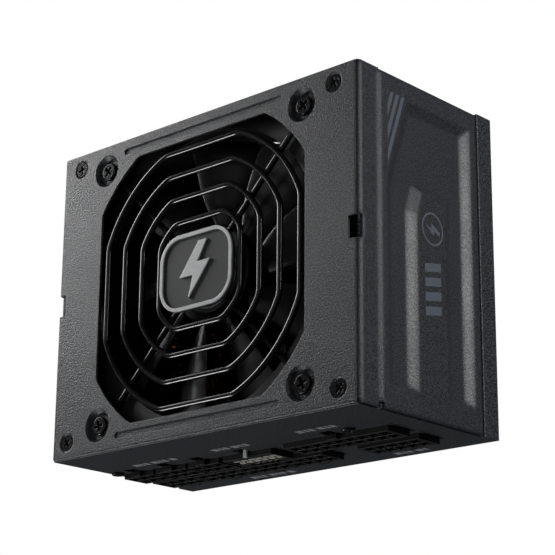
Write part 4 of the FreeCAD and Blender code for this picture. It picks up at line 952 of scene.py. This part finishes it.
def fan_wires():
    """The fan's two wires, loosely twisted along the CAD lead."""
    low, high = box_mm("fan_lead")
    lead = 1.1              # the CAD lead's radius
    wire = 0.52
    twist = 9               # length of one turn
    spacing = 0.8           # between points on the way
    sway = (0.42, 0.55)     # of each wire from the middle, along X and Y
    upper_bend = 28.3
    lower_bend = 19.8
    y = (low.y + high.y) / 2
    turn_x = low.x + lead
    plug_x = turn_x + 3
    corners = [(high.x, y, high.z - lead), (turn_x + 1.2, y, high.z - lead),
               (turn_x, y, upper_bend), (plug_x, y, lower_bend), (plug_x, y, low.z)]
    route = smooth_path(corners, 10)
    dense = []
    for before, after in zip(route, route[1:]):
        steps = max(1, int((after - before).length / spacing))
        dense += [before.lerp(after, step / steps) for step in range(steps)]
    dense.append(route[-1])
    wires = []
    for shift in (0, math.pi):
        path = []
        travelled = 0.0
        for index, point in enumerate(dense):
            if index:
                travelled += (point - dense[index - 1]).length
            angle = shift + travelled * FULL_TURN / twist
            path.append(point + Vector((sway[0] * math.cos(angle), sway[1] * math.sin(angle), 0)))
        wires.append(sweep(path, wire, 8))
    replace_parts(piece("fan_wires", *together(wires), "lead_rubber"), "fan_lead")


# resistors on the main board as x, y and turn in degrees; disc capacitors as x, y
RESISTORS = [(-30, -4, 0), (-26, -4, 0), (-30, 28, 90), (38, -4, 0), (43, -4, 0), (48, -12, 90),
             (36, -22, 0), (48, -22, 0), (-12, 12, 0), (-2, 32, 90), (8, 32, 90), (18, 32, 90),
             (-22, 4, 0)]
DISCS = [(-26, 12), (-18, 12), (44, -34), (50, -30), (-45, 30), (-12, -12), (-50, -2)]


def small_parts():
    """Resistors and disc capacitors standing on the main board between the larger parts."""
    top = box_mm("main_board")[1].z
    lift = top + 2.0        # height of a resistor's axis
    reach = 4.6             # from its middle to where its leads turn down
    lead = 0.3
    sides = 16
    # the resistor's outline: distance from its middle, and share of its radius
    outline = ((-3.1, 0.45), (-2.9, 1.0), (-2.2, 1.0), (-1.7, 0.84),
               (1.7, 0.84), (2.2, 1.0), (2.9, 1.0), (3.1, 0.45))
    bodies = []
    leads = []
    for x, y, turn in RESISTORS:
        way = Vector((math.cos(math.radians(turn)), math.sin(math.radians(turn)), 0))
        middle = Vector((x, y, lift))
        ends = [middle - way * reach, middle + way * reach]
        corners = [(ends[0].x, ends[0].y, top), ends[0], ends[1], (ends[1].x, ends[1].y, top)]
        leads.append(sweep(smooth_path(corners, 6, 0.15), lead, 8))
        path = [middle + way * step for step, share in outline]
        shape = sweep(path, 1.0, sides)
        points = []
        for index, point in enumerate(shape[0]):
            hub = path[index // sides]
            points.append(tuple(hub + (Vector(point) - hub) * outline[index // sides][1]))
        bodies.append((points, shape[1]))
    piece("small_resistors", *together(bodies), "film_case")
    disc_lift = 4.6
    disc_lead = 0.28
    lead_tall = 3.0
    foot = 1.6              # from a disc's middle to each of its leads
    profile = [(0, -1.3), (1.6, -1.15), (2.6, -0.6), (2.9, 0), (2.6, 0.6), (1.6, 1.15), (0, 1.3)]
    lenses = []
    for x, y in DISCS:
        lenses.append(lathe(profile, (x, y, top + disc_lift), 28, "X"))
        for side in (-foot, foot):
            leads.append(sweep([(x, y + side, top), (x, y + side, top + lead_tall)], disc_lead, 8))
    piece("disc_capacitors", *together(lenses), "capacitor_sleeve")
    piece("small_leads", *together(leads), "tinned_contact")


# ---------------------------------------------------------------- build

make_camera()
make_studio()
paint_nodes()
for label, side in (("right", 1), ("left", -1)):
    side_marks(label, side)
socket_marks()
label_marks()
rocker_marks()
hub_label()
chokes()
capacitors()
fan_wires()
small_parts()
